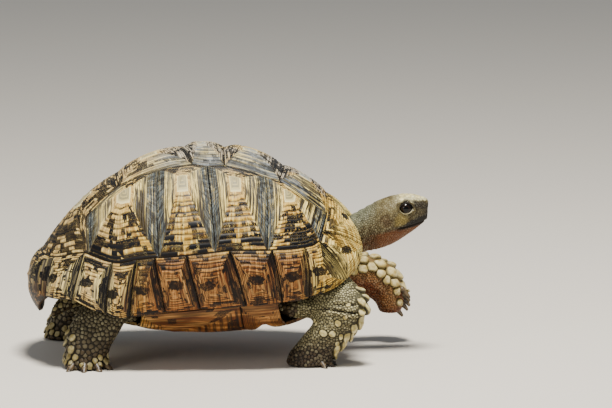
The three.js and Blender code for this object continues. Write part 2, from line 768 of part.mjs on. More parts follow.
function plantedLeg({ sections, claws }, side, trunk) {
  const rings = sections.map(([x, y, z, wide, deep]) => ring({
    at: [x, side * y, z],
    facing: [0, 0, 1],
    hint: [1, 0, 0],
    wide,
    deep,
    square: 1.12,
  }, 12));
  let leg = toManifold(loft(rings)).subtract(trunk);
  const [soleX, soleY] = sections.at(-1);
  for (let i = 0; i < claws.number; i += 1) {
    const turn = THREE.MathUtils.degToRad(mix(claws.from, claws.to, i / (claws.number - 1)));
    const x = soleX + claws.reach[0] * Math.cos(turn);
    const y = side * soleY + claws.reach[1] * Math.sin(turn);
    leg = leg.add(toManifold(clawGeometry([x, y, 5.4], turn, 0.62, claws.length, claws.radius)));
  }
  return toGeometry(leg);
}

function raisedLeg({ stations, claws }, side, trunk) {
  const placed = stations.map((station) => {
    const [x, y, z] = station.at;
    return { ...station, at: [x, side * y, z] };
  });
  let leg = toManifold(loft(alongPath(placed, [0, 1, 0], 12))).subtract(trunk);
  for (let i = 0; i < claws.number; i += 1) {
    const share = i / (claws.number - 1);
    const [x, y, z] = claws.first.map((value, axis) => mix(value, claws.last[axis], share));
    const spread = side * mix(-0.3, 0.5, share);
    leg = leg.add(toManifold(clawGeometry([x, side * y, z], spread, 0.75, claws.length, claws.radius)));
  }
  return toGeometry(leg);
}

function addLegsAndTail(trunk) {
  addPiece("foreleg_right", plantedLeg(nearForeleg, -1, trunk), skinFinish);
  addPiece("foreleg_left", raisedLeg(farForeleg, 1, trunk), skinFinish);
  addPiece("hindleg_right", plantedLeg(nearHindleg, -1, trunk), skinFinish);
  addPiece("hindleg_left", plantedLeg(farHindleg, 1, trunk), skinFinish);
  const tail = loft(alongPath(tailStations, [0, 1, 0], 10));
  addPiece("tail", toGeometry(toManifold(tail).subtract(trunk)), skinFinish);
}

// ---------------------------------------------------------------- the whole animal

addVertebrals();
addCostals();
addMarginals();
addPlastron();

const trunk = trunkGeometry();
addPiece("trunk", trunk, skinFinish);
const trunkCut = toManifold(grown(trunk, fleshGap));
addHeadAndNeck(trunkCut);
addLegsAndTail(trunkCut);

const box = new THREE.Box3().setFromObject(tortoise);
const underMiddle = box.getCenter(vector(0, 0, 0)).setZ(box.min.z);
for (const piece of tortoise.children) {
  piece.geometry.translate(-underMiddle.x, -underMiddle.y, -underMiddle.z);
}

export default tortoise;
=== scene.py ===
# %% [markdown]
# # A leopard tortoise in mid-stride
# The frame holds the tortoise as plain solids at its real size: every scute of the shell, the
# trunk, the head, neck, legs and tail. This script gives it its looks. It works from the outside
# in: camera and light first, then the horn plates of the shell, then one skin for all the flesh,
# then the scales, claws and eyes that sit on it.

# %% Load the frame
import math

import bmesh
import bpy
import numpy as np
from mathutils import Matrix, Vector
from mathutils.bvhtree import BVHTree
from mathutils.kdtree import KDTree


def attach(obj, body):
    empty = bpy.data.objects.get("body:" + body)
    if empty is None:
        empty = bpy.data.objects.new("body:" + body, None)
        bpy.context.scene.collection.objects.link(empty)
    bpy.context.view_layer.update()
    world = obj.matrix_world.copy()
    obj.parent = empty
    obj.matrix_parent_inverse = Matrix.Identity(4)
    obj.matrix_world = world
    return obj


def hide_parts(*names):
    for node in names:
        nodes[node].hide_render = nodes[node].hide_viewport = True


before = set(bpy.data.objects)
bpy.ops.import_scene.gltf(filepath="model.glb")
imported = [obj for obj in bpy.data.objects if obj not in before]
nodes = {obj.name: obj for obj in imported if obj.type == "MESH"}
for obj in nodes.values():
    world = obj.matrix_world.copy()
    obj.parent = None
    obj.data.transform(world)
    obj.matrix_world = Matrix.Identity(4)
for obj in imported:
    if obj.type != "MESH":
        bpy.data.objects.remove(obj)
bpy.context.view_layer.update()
print("nodes:", len(nodes))


# %% Small helpers for meshes and objects
def read(items, word, width=1, kind=float):
    """One property of many parts of a mesh, a row of numbers for each."""
    numbers = np.zeros(len(items) * width, kind)
    items.foreach_get(word, numbers)
    return numbers.reshape(-1, width) if width > 1 else numbers


def put_places(mesh, places):
    mesh.vertices.foreach_set("co", places.reshape(-1))
    mesh.update()


def keep_value(mesh, name, numbers):
    """Stores one number for each point of a mesh under a name, for its finish to read."""
    attribute = mesh.attributes.new(name, "FLOAT", "POINT")
    attribute.data.foreach_set("value", np.asarray(numbers, np.float32).reshape(-1))


def mesh_from(name, bm):
    """Turns a finished bmesh into a mesh with smooth faces."""
    for face in bm.faces:
        face.smooth = True
    mesh = bpy.data.meshes.new(name)
    bm.to_mesh(mesh)
    bm.free()
    return mesh


def put_in_scene(name, data):
    """A new object that carries a mesh, a lamp or a camera."""
    thing = bpy.data.objects.new(name, data)
    bpy.context.scene.collection.objects.link(thing)
    return thing


def add_piece(name, mesh, look, replaced=()):
    """Puts a finished mesh in the scene, fixed to the animal."""
    mesh.materials.append(look.material)
    piece = put_in_scene(name, mesh)
    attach(piece, "root")
    if replaced:
        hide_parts(*replaced)


# %% Small helpers for node materials
def hex_colour(text):
    """Turns a colour as painters write it, such as c8a878, into linear light."""
    parts = [int(text[i:i + 2], 16) / 255 for i in (0, 2, 4)]
    linear = [((p + 0.055) / 1.055) ** 2.4 if p > 0.04045 else p / 12.92 for p in parts]
    return (*linear, 1.0)


def operation(name, swapped=False):
    """A way to work with values: one math node, fed with one value or with two."""
    def apply(self, other=0.0):
        return self.finish.math(name, *((other, self) if swapped else (self, other)))
    return apply


class Value:
    """What a node gives out. Values are added, multiplied and compared as plain numbers are."""

    def __init__(self, finish, socket):
        self.finish = finish
        self.socket = socket

    __add__ = __radd__ = operation("ADD")
    __mul__ = __rmul__ = operation("MULTIPLY")
    __sub__ = operation("SUBTRACT")
    __rsub__ = operation("SUBTRACT", swapped=True)
    __truediv__ = operation("DIVIDE")
    __pow__ = operation("POWER")
    __lt__ = operation("LESS_THAN")
    __gt__ = operation("GREATER_THAN")
    __abs__ = operation("ABSOLUTE")
    floor = operation("FLOOR")
    fract = operation("FRACT")
    round = operation("ROUND")
    at_least = operation("MAXIMUM")


MIX_FACTOR, MIX_FIRST, MIX_SECOND, MIX_RESULT = 0, 6, 7, 2    # a mix node's sockets for colours


class Finish:
    """A material whose nodes are added one call at a time. Each call returns a value."""

    def __init__(self, name, roughness=0.6, specular=0.5):
        self.material = bpy.data.materials.new(name)
        self.material.use_nodes = True
        self.tree = self.material.node_tree
        self.surface = self.tree.nodes["Principled BSDF"].inputs
        self.surface["Roughness"].default_value = roughness
        self.surface["Specular IOR Level"].default_value = specular
        self.object_place = self.add("TexCoord", "Object")

    def link(self, value, socket):
        if isinstance(value, Value):
            self.tree.links.new(value.socket, socket)
        else:
            socket.default_value = hex_colour(value) if isinstance(value, str) else value

    def add(self, kind, output, settings=(), inputs=()):
        """Adds a node, sets it, feeds its inputs, and returns one of its outputs."""
        node = self.tree.nodes.new("ShaderNode" + kind)
        for name, setting in dict(settings).items():
            setattr(node, name, setting)
        for name, value in dict(inputs).items():
            self.link(value, node.inputs[name])
        return Value(self, node.outputs[output])

    def value(self, name, output="Fac"):
        return self.add("Attribute", output, {"attribute_name": name})

    def unwrapped(self, name):
        return self.add("UVMap", "UV", {"uv_map": name})

    def math(self, name, first, second):
        return self.add("Math", 0, {"operation": name}, {0: first, 1: second})

    def pack(self, x, y, z):
        return self.add("CombineXYZ", 0, (), {0: x, 1: y, 2: z})

    def parts(self, place):
        node = self.add("SeparateXYZ", 0, (), {0: place}).socket.node
        return [Value(self, socket) for socket in node.outputs]

    def stretch(self, place, scale):
        return self.add("VectorMath", 0, {"operation": "MULTIPLY"}, {0: place, 1: scale})

    def noise(self, place, scale, detail=2.0, roughness=0.5):
        return self.add("TexNoise", "Fac", (), {
            "Vector": place, "Scale": scale, "Detail": detail, "Roughness": roughness})

    def dice(self, x, y, z):
        """One random number for each whole-number place."""
        return self.add("TexWhiteNoise", "Value", {"noise_dimensions": "3D"},
                        {"Vector": self.pack(x, y, z)})

    def ramp(self, value, low, high, start=0.0, end=1.0):
        """Runs smoothly from start to end while value runs from low to high."""
        return self.add("MapRange", "Result", {"interpolation_type": "SMOOTHSTEP"}, {
            "Value": value, "From Min": low, "From Max": high, "To Min": start, "To Max": end})

    def mix(self, share, first, second):
        return self.add("Mix", MIX_RESULT, {"data_type": "RGBA"},
                        {MIX_FACTOR: share, MIX_FIRST: first, MIX_SECOND: second})

    def wash(self, colour, over, value, low, high, start=0.0, end=1.0):
        """Lays a second colour over the first while value runs from low to high."""
        return self.mix(self.ramp(value, low, high, start, end), colour, over)

    def bump(self, height, distance, strength):
        normal = self.add("Bump", "Normal", (), {
            "Height": height, "Distance": distance, "Strength": strength})
        self.link(normal, self.surface["Normal"])

    def colour(self, value):
        self.link(value, self.surface["Base Color"])

    def roughness(self, value):
        self.link(value, self.surface["Roughness"])


# %% [markdown]
# ## Camera, floor and light
# A long lens from far away keeps the shell's outline true. The floor is one big pale sheet, and
# the light is a large soft box overhead with a weaker one to the side, so the growth rings throw
# small shadows but nothing turns black.

# %% Camera
LENS = 297.5           # focal length, in millimetres as the camera counts it
SENSOR = 36.0
FAR_LIMIT = 50
VIEW_DISTANCE = 4.4
VIEW_RISE = math.radians(8)
AIM = Vector((0.0679, 0.0, 0.1327))


def place_camera():
    data = bpy.data.cameras.new("camera")
    data.lens = LENS
    data.sensor_width = SENSOR
    data.clip_end = FAR_LIMIT
    camera = put_in_scene("camera", data)
    away = Vector((0, -math.cos(VIEW_RISE), math.sin(VIEW_RISE)))
    camera.location = AIM + VIEW_DISTANCE * away
    camera.rotation_euler = away.to_track_quat("Z", "Y").to_euler()
    bpy.context.scene.camera = camera


place_camera()
print("camera rise, degrees:", round(math.degrees(VIEW_RISE)))

# %% Floor and light
FLOOR_REACH = 9.0
FLOOR_COLOUR = "d8d2c8"
SKY = (0.82, 0.9, 1.0, 1.0)
SKY_STRENGTH = 0.27
LIT_PLACE = Vector((0, 0, 0.1))
# name: place, width, power in watts, colour
SOFT_BOXES = {
    "overhead": ((0.15, -0.75, 2.3), 0.6, 136, (1.0, 0.96, 0.88)),
    "side": ((-1.7, -2.3, 1.2), 1.3, 19, (1.0, 0.94, 0.86)),
}


def lay_floor():
    bm = bmesh.new()
    bmesh.ops.create_grid(bm, x_segments=1, y_segments=1, size=FLOOR_REACH)
    floor = put_in_scene("floor", mesh_from("floor", bm))
    look = Finish("pale_floor", roughness=0.9, specular=0.2)
    look.colour(FLOOR_COLOUR)
    floor.data.materials.append(look.material)


def light_the_scene():
    world = bpy.data.worlds.new("studio")
    bpy.context.scene.world = world
    world.use_nodes = True
    background = world.node_tree.nodes["Background"]
    background.inputs["Color"].default_value = SKY
    background.inputs["Strength"].default_value = SKY_STRENGTH
    for name, (place, width, power, colour) in SOFT_BOXES.items():
        data = bpy.data.lights.new(name, "AREA")
        data.shape = "DISK"
        data.size = width
        data.energy = power
        data.color = colour
        lamp = put_in_scene(name, data)
        lamp.location = place
        lamp.rotation_euler = (Vector(place) - LIT_PLACE).to_track_quat("Z", "Y").to_euler()


lay_floor()
light_the_scene()
print("soft boxes:", len(SOFT_BOXES))

# %% [markdown]
# ## The horn plates
# A scute is a plate of horn that grew outwards from a small old plate, the areola. Each season
# left a ridge that runs all round, so the rings repeat the plate's own outline. The plate is
# built the way it grew, only backwards: the outline of its solid is extruded inwards, ring by
# ring, each ring drawn in towards the areola and laid on the solid's surface. That gives every
# point two natural numbers for its pattern: which ring it lies in and how far round it is.


# %% Reading a plate's outline from its solid
ARCHED_RINGS = 4       # rings of corners between a solid's areola and its seam
FLAT_RINGS = 3         # the same on the plastron
SHELL_MIDDLE = 0.07    # height of the middle of the shell
LENGTH_SHARE = 0.7     # a plate faces away from a place on the middle line, this far along with it
WELD = 2e-6
PLASTRON_NAMES = ("gular", "humeral", "pectoral", "abdominal", "femoral", "anal")


def plate_family(name):
    family = name.split("_")[0]
    return "plastron" if family in PLASTRON_NAMES else family


def node_bmesh(name):
    """A copy of a node's solid with its loose triangles joined up."""
    bm = bmesh.new()
    bm.from_mesh(nodes[name].data)
    bmesh.ops.remove_doubles(bm, verts=bm.verts, dist=WELD)
    bm.normal_update()
    bm.verts.index_update()
    return bm


def layers_from(vert, depth):
    """The corners one edge away from a corner, then two edges away, and so on."""
    layers = [[vert]]
    seen = {vert}
    for _ in range(depth):
        beyond = (edge.other_vert(member) for member in layers[-1] for edge in member.link_edges)
        layers.append([other for other in dict.fromkeys(beyond) if other not in seen])
        seen.update(layers[-1])
    return layers


def find_poles(bm, depth):
    """The middles of the show side and of the underside: rings of equal count lie round both."""
    poles = []
    for vert in bm.verts:
        count = len(vert.link_edges)
        layers = layers_from(vert, depth)
        if all(len(layer) == count for layer in layers[1:]):
            poles.append((vert, layers))
    return poles


def walk_round(layer, facing):
    """A ring's corners in order, anticlockwise seen from outside."""
    members = set(layer)
    ring = [layer[0]]
    while len(ring) < len(layer):
        near = (edge.other_vert(ring[-1]) for edge in ring[-1].link_edges)
        ring.append(next(v for v in near if v in members and v not in ring))
    centre = sum((v.co for v in ring), Vector()) / len(ring)
    turn = sum(((a.co - centre).cross(b.co - centre) for a, b in zip(ring, ring[1:])), Vector())
    return ring if turn.dot(facing) > 0 else ring[::-1]


def read_plate(name):
    """Outline, foot of the wall below it, top of the areola, mean direction and both surfaces."""
    bm = node_bmesh(name)
    centre = sum((v.co for v in bm.verts), Vector()) / len(bm.verts)
    outward = (centre - Vector((centre.x * LENGTH_SHARE, 0, SHELL_MIDDLE))).normalized()
    depth = FLAT_RINGS if plate_family(name) == "plastron" else ARCHED_RINGS
    top, layers = max(find_poles(bm, depth), key=lambda pole: pole[0].co.dot(outward))
    shown = {v for layer in layers for v in layer}
    show_side = [f for f in bm.faces if all(v in shown for v in f.verts)]
    facing = sum((f.normal * f.calc_area() for f in show_side), Vector()).normalized()
    ring = walk_round(layers[-1], facing)
    feet = []
    for vert in ring:
        below = [e for e in vert.link_edges if e.other_vert(vert) not in shown]
        feet.append(min(below, key=lambda e: e.calc_length()).other_vert(vert).co.copy())
    corners = [v.co.copy() for v in bm.verts]
    plate = {
        "outline": [v.co.copy() for v in ring],
        "feet": feet,
        "top": np.array(top.co),
        "facing": facing,
        "front": BVHTree.FromPolygons(corners, [[v.index for v in f.verts] for f in show_side]),
        "back": BVHTree.FromPolygons(
            corners, [[v.index for v in f.verts] for f in bm.faces if f not in show_side]),
    }
    bm.free()
    return plate


# %% Resampling an outline
POINT_STEP = 0.0019      # between neighbouring points of a finished outline
CORNER_TURN = math.radians(24)


def unit(vectors):
    """Vectors of length one, along the last axis."""
    return vectors / np.maximum(np.linalg.norm(vectors, axis=-1, keepdims=True), 1e-12)


def outline_weights(corners, facing):
    """Rows of weights that turn an outline's corners into evenly spaced points. Stretches between
    sharp corners become smooth curves, and the first point is the highest sharp corner."""
    count = len(corners)
    flat = corners - np.outer(corners @ facing, facing)
    ahead = unit(np.roll(flat, -1, axis=0) - flat)
    turns = np.arccos(np.clip((ahead * np.roll(ahead, 1, axis=0)).sum(axis=1), -1, 1))
    sharp = [i for i in range(count) if turns[i] > CORNER_TURN] or [0]
    first = max(sharp, key=lambda i: corners[i][2])
    sharp = sorted((i - first) % count for i in sharp)
    rows = []
    for start, end in zip(sharp, (*sharp[1:], count)):
        stretch = [(first + i) % count for i in range(start, end + 1)]
        for k, (a, b) in enumerate(zip(stretch, stretch[1:])):
            steps = max(2, round(np.linalg.norm(corners[b] - corners[a]) / POINT_STEP))
            rows += [curve_row(count, stretch, k, t) for t in np.arange(steps) / steps]
    return np.array(rows)


def curve_row(count, stretch, k, t):
    """The weights of a smooth curve from corner k of a stretch to the next, at a share t. At the
    ends of the stretch the curve runs on straight."""
    a, b = stretch[k], stretch[k + 1]
    before, at_a, at_b, after = np.array(
        [-t + 2 * t**2 - t**3, 2 - 5 * t**2 + 3 * t**3, t + 4 * t**2 - 3 * t**3, t**3 - t**2]) / 2
    row = np.zeros(count)
    row[a] += at_a
    row[b] += at_b
    if k > 0:
        row[stretch[k - 1]] += before
    else:
        row[a] += 2 * before
        row[b] -= before
    if k + 2 < len(stretch):
        row[stretch[k + 2]] += after
    else:
        row[b] += 2 * after
        row[a] -= after
    return row


# %% Laying rings on a surface
COARSE_ROWS = 15
COARSE_STRIDE = 4
COARSE_ROUNDS, FINE_ROUNDS = 3, 10     # how often the heights are evened out
RAY_START = 0.03


def surface_heights(base, facing, surface):
    """How far each point lies below a surface, measured along one direction."""
    heights = np.zeros(base.shape[:2])
    ray = -Vector(facing)
    for i, row in enumerate(base):
        for j, point in enumerate(row):
            start = Vector(point) - RAY_START * ray
            hit = surface.ray_cast(start, ray)[0]
            if hit is None:
                hit = surface.find_nearest(Vector(point))[0]
            heights[i, j] = (np.array(hit) - point) @ facing
    return heights


def smooth_rings(heights, times):
    """Evens out heights between neighbours. The first row, the border, stays as it is."""
    for _ in range(times):
        around = np.roll(heights, 1, axis=1) + np.roll(heights, -1, axis=1)
        inner = heights[1:-1]
        heights[1:-1] = inner / 2 + (heights[:-2] + heights[2:] + around[1:-1]) / 8
        heights[-1] = heights[-2].mean()
    return heights


def stretch_rings(coarse, rows, columns):
    """Coarse heights spread over a finer grid that closes on itself round the plate."""
    row_at = np.linspace(0, len(coarse) - 1, rows)
    column_at = np.arange(columns) / COARSE_STRIDE
    low = np.minimum(row_at.astype(int), len(coarse) - 2)
    share = (row_at - low)[:, None]
    tall = coarse[low] * (1 - share) + coarse[low + 1] * share
    left = column_at.astype(int)
    right = (left + 1) % coarse.shape[1]
    share = column_at - left
    return tall[:, left % coarse.shape[1]] * (1 - share) + tall[:, right] * share


def rings_on(surface, border, middle, facing, rows):
    """A grid of points from a border in to a middle, laid on a surface and evened out."""
    way = np.linspace(0, 1, rows)[:, None, None]
    base = border * (1 - way) + middle * way
    coarse_way = np.linspace(0, 1, min(rows, COARSE_ROWS))[:, None, None]
    coarse_base = border[::COARSE_STRIDE] * (1 - coarse_way) + middle * coarse_way
    coarse = surface_heights(coarse_base, facing, surface)
    coarse[0] = 0
    heights = stretch_rings(smooth_rings(coarse, COARSE_ROUNDS), rows, len(border))
    heights = smooth_rings(heights, FINE_ROUNDS)
    return base + heights[..., None] * facing


# %% [markdown]
# ### Growth rings
# Some seasons added more horn than others, so the rings are not all the same width. The ridges
# between them are real shape here, not a bump in the finish: each one is pressed into the rows
# of points that lie near it, a little deeper in some seasons than in others.

# %% Growing a plate
FAMILIES = {
    # ring rows, seasons, groove depth, share of the areola, the way that counts as down
    "vertebral": (60, 10, 0.0007, 0.24, (0, 0, 0)),
    "costal": (72, 12, 0.0007, 0.2, (0, 0, -1)),
    "marginal": (46, 8, 0.0005, 0.2, (0, 0, -1)),
    "supracaudal": (46, 11, 0.0004, 0.26, (0, 0, -1)),
    "plastron": (22, 8, 0.0002, 0.3, (0, 0, 0)),
}
RIM_SHARE = 0.55       # of the solid's wall that shows as the plate's edge
BACK_WAY = (0.0, 0.1, 0.35, 0.7, 1.0)    # rows of the underside, from the foot to the middle
BACK_ROWS = len(BACK_WAY)
SEASON_SPREAD = (0.6, 1.4)               # how uneven the seasons are
SEASON_SHRINK = (1.25, 0.75)             # from the first season to the last
GROOVE_SPREAD = (0.35, 1.25)             # shallowest and deepest, as shares of the depth
GROOVE_WIDTH = 0.17    # in seasons
TERRACE = 0.35         # step from season to season, as a share of the groove's depth
WOBBLE = 0.35          # how far a season's ring strays, in seasons
WOBBLE_WAVES = (3, 5, 9)                 # waves round the plate
LOT_STEP = 1.7         # between the dice of one plate and the next


def season_edges(rng, seasons, areola):
    """Where each season's ring ends, as shares of the way from the areola to the seam."""
    widths = rng.uniform(*SEASON_SPREAD, seasons) * np.linspace(*SEASON_SHRINK, seasons)
    return areola + (1 - areola) * np.concatenate([[0], np.cumsum(widths) / widths.sum()])


def season_grid(rng, ring, turn, seasons, areola):
    """The season in which each point grew: less than nothing on the areola, then counted out."""
    season = np.interp(ring, season_edges(rng, seasons, areola), np.arange(seasons + 1))
    season[ring < areola] = (ring[ring < areola] / areola) - 1
    phase = rng.uniform(0, 2 * np.pi, len(WOBBLE_WAVES))
    wobble = sum(np.sin(n * turn + p) / n for n, p in zip(WOBBLE_WAVES, phase))
    return season + WOBBLE * wobble * np.clip(season, 0, 1) * np.clip((seasons - season) / 2, 0, 1)


def press_grooves(points, season, rng, depth, facing, seasons):
    """Pushes rings of points in along the line between each season and the next."""
    along = np.roll(points, -1, axis=1) - np.roll(points, 1, axis=1)
    across = np.gradient(points, axis=0)
    normal = unit(np.cross(along, across))
    normal *= np.sign((normal @ facing).mean())
    line = np.round(season).astype(int)
    depths = depth * rng.uniform(*GROOVE_SPREAD, seasons + 2)
    groove = np.exp(-(((season - line) / GROOVE_WIDTH) ** 2)) * depths[np.clip(line, 0, seasons)]
    groove[season < -0.2] = 0
    groove[0] = 0
    terrace = TERRACE * depth * (season - np.floor(season) - 0.5) * (season > 0)
    terrace[0] = 0
    return points - normal * (groove + terrace)[..., None]


def grow_plate(name):
    """The points of one plate, row by row from its underside, and what its pattern needs."""
    plate = read_plate(name)
    rows, seasons, depth, areola, down = FAMILIES[plate_family(name)]
    rng = np.random.default_rng(sum(ord(c) * (i + 1) for i, c in enumerate(name)))
    facing, corners, top = (np.array(plate[word]) for word in ("facing", "outline", "top"))
    weights = outline_weights(corners, facing)
    border = weights @ corners
    feet = border + RIM_SHARE * (weights @ np.array(plate["feet"]) - border)
    step = np.linalg.norm(np.roll(border, -1, axis=0) - border, axis=1)
    round_way = np.concatenate([[0], np.cumsum(step)])
    turn = 2 * np.pi * round_way[:-1] / round_way[-1]
    ring = np.repeat(1 - np.linspace(0, 1, rows)[:, None], len(border), axis=1)
    season = season_grid(rng, ring, turn, seasons, areola)
    shown = rings_on(plate["front"], border, top, facing, rows)
    shown = press_grooves(shown, season, rng, depth, facing, seasons)
    back_hit = plate["back"].ray_cast(Vector(top - RAY_START * facing), Vector(facing))[0]
    behind = rings_on_back(plate["back"], feet, np.array(back_hit), facing)
    grown = {"ring": ring, "season": season, "border": border, "girth": round_way[-1], "top": top,
             "down": np.array(down), "facing": facing, "seasons": seasons}
    return np.concatenate([behind[::-1], shown]), grown


def rings_on_back(surface, feet, middle, facing):
    """The plate's underside, from its foot in to the middle."""
    way = np.array(BACK_WAY)[:, None, None]
    base = feet * (1 - way) + middle * way
    coarse = surface_heights(base[:, ::COARSE_STRIDE], -facing, surface)
    coarse[0] = 0
    coarse[-1] = 0
    heights = stretch_rings(coarse, len(base), len(feet))
    return base - heights[..., None] * facing


def close_grid(name, grid):
    """Bends a flat grid round the plate, welds its first and last column, and closes both poles."""
    rows, columns = grid.shape[:2]
    bm = bmesh.new()
    bm.loops.layers.uv.new("round")
    home = bm.verts.layers.int.new("home")
    bmesh.ops.create_grid(bm, x_segments=columns, y_segments=rows - 1, size=1, calc_uvs=True)
    wrapped = np.concatenate([grid, grid[:, :1]], axis=1).reshape(-1, 3)
    for i, (vert, place) in enumerate(zip(bm.verts, wrapped)):
        vert.co = place
        row, column = divmod(i, columns + 1)
        vert[home] = row * columns + column % columns
    bmesh.ops.remove_doubles(bm, verts=bm.verts, dist=1e-7)
    bmesh.ops.recalc_face_normals(bm, faces=bm.faces)
    return mesh_from(name, bm)


def with_back(values, fill):
    """Values of the show side, with a filler for the rows behind it."""
    return np.concatenate([np.full((BACK_ROWS, values.shape[1]), fill), values])


def dress_plate(name, number, look):
    """Makes one plate's mesh, stores its pattern values and puts it in its solid's place."""
    grid, grown = grow_plate(name)
    facing, border = grown["facing"], grown["border"]
    along = unit(np.roll(border, -1, axis=0) - np.roll(border, 1, axis=0))
    outward = np.cross(along, facing)
    down = grown["down"] if grown["down"].any() else np.array([1.0, 0, 0])
    down = unit(down - (down @ facing) * facing)
    spread = np.ones(grown["ring"].shape)
    values = {
        "ring": with_back(grown["ring"], 0.9),
        "season": with_back(grown["season"], grown["seasons"] - 0.5),
        "low": with_back(spread * (outward @ down), 0.0),
        "across": (grid - grown["top"]) @ np.cross(facing, down),
        "down": (grid - grown["top"]) @ down,
        "girth": with_back(spread * grown["girth"], 0.0),
        "lot": with_back(spread * number * LOT_STEP, 0.0),
    }
    mesh = close_grid("horn_" + name, grid)
    home = read(mesh.attributes["home"].data, "value", 1, int)
    for word, numbers in values.items():
        keep_value(mesh, word, numbers.reshape(-1)[home])
    mesh.attributes.remove(mesh.attributes["home"])
    slot = "plastron_scute" if plate_family(name) == "plastron" else "carapace_scute"
    add_piece("horn_" + name, mesh, look, [name])
    return len(mesh.vertices)


# %% [markdown]
# ### The pattern of the horn
# A young leopard tortoise has dark spots. As the plate grows, each season's horn is dark where the
# one before was dark, or skips, so an old plate is a chequer of blocks: a block is one season high
# and has a frayed, comb-like edge. The finish works with the two numbers of every point, the
# season and the way round, and throws one die for each block. Along the side seams of the large
# plates the seasons lie so close that they melt into a slate-blue band of dark horn, whose lighter
# streaks are a painted sky reflection. Low on the flanks the straw colour turns a warm brown,
# partly the horn's own colour and partly painted orange light thrown up from the ground. The lines
# between the seasons are darkened with dirt and with painted shade in the grooves, and the top of
# the shell gets a painted grey sky sheen.

# %% Horn colours
STRAW = "cba343"
PALE_STRAW = "f3da82"
TAN = "7f581d"
DARK_TAN = "6a4515"
OLD_HORN = "7a7350"
OLD_RIM = "e9dca2"
RING_DIRT = "14120b"
LINE_BROWN = "120a03"
WARM_BROWN = "56290b"
WARM_STRAW = "ad7640"
WARM_DARK = "2c1304"
WARM_PALE = "c89a5c"
# painted orange light thrown up from the ground onto the lowest marginals
GROUND_BOUNCE_ORANGE = "b4621f"
BROWN_BLACK = "080302"
BLUE_BLACK = "030408"
SLATE = "1b2530"
# painted sky reflection in the lighter streaks of the slate bands
SLATE_SKY_SHEEN = "6f7a7c"
# the next two: weathered grey horn with a painted blue-grey sky reflection
SLATE_GREY = "3c4854"
SKY_GREY = "8597b0"
DULL_STRAW = "a39a86"
# the next two are a painted grey sky sheen on the top of the shell
STRAW_SKY_SHEEN = "bdb8a2"
SKY_SHEEN = "c4c6c0"

# share of dark blocks near the areola and at the seam, large blocks, slate at the sides, dark
# band at one side seam, straw greyed by weathering and a painted sky sheen, dark blotch above the
# middle, rays to the rim
LOOK_WORDS = ("inner", "outer", "large", "slate", "band", "grey_and_sky_sheen", "blotch", "rays")
HORN_LOOKS = {
    "vertebral": (0.2, 0.48, 0.18, 0.5, 0.1, 0.55, 0.0, 0.0),
    "costal": (0.16, 0.62, 0.28, 0.97, 0.0, 0.06, 0.0, 0.0),
    "marginal": (0.12, 0.4, 0.05, 0.0, 0.97, 0.0, 0.97, 0.85),
    # the supracaudal's dense dark rays and band are partly its own pattern, partly painted shade on the
    # rear of the shell
    "supracaudal": (0.15, 0.5, 0.2, 0.0, 0.7, 0.0, 0.0, 0.9),
    "plastron": (0.02, 0.08, 0.06, 0.0, 0.0, 0.0, 0.0, 0.15),
}
BLOCK_WIDTH = 0.0062
LARGE_BLOCK_WIDTH = 0.0135
BLOTCH = (0.0068, 0.0042)      # half width and half height


HORN_WORDS = ("ring", "season", "low", "lot", "across", "down", "girth")


class Horn(Finish):
    """The finish of one family of plates, and what it knows about every point of them."""

    def __init__(self, family):
        super().__init__(family + "_horn", roughness=0.5, specular=0.2)
        self.family = family
        self.look = dict(zip(LOOK_WORDS, HORN_LOOKS[family]))
        for word in HORN_WORDS:
            setattr(self, word, self.value(word))
        self.round_way = self.parts(self.unwrapped("round"))[0] * self.girth
        self.along, _, self.height = self.parts(self.object_place)
        self.front = self.ramp(self.along, 0.085, 0.112)
        self.patchy = self.noise(self.object_place, 34, 3.0)
        self.streak = self.grain(60, 2.6, 3.0, 0.6)
        self.thin = self.grain(24, 6.5, 1.0)
        self.fine = self.grain(14, 1.5, 1.5)
        self.ray = self.ray_grain()
        self.side = self.ramp(abs(self.low), 0.9, 0.66)
        if family == "vertebral":
            # the rear plates of the middle row are chequered all round
            self.side = self.side * self.ramp(self.along, -0.085, -0.045, 0.15, 1.0)

    def grain(self, round_scale, season_scale, detail, roughness=0.5):
        """Noise that follows the rings."""
        place = self.pack(self.round_way * round_scale, self.season * season_scale, self.lot)
        return self.noise(place, 1.0, detail, roughness)

    def ray_grain(self):
        """The grain across the rings. It fans out on the rim and runs lengthways on the belly."""
        if self.family == "plastron":
            return self.noise(self.stretch(self.object_place, (26, 170, 170)), 1.0, 2.0)
        if self.family in ("marginal", "supracaudal"):
            fan = self.across / (1.0 + self.down * 17)
            return self.noise(self.pack(fan * 620, self.down * 38, self.lot), 1.0, 2.0)
        return self.grain(420, 0.22, 2.0)


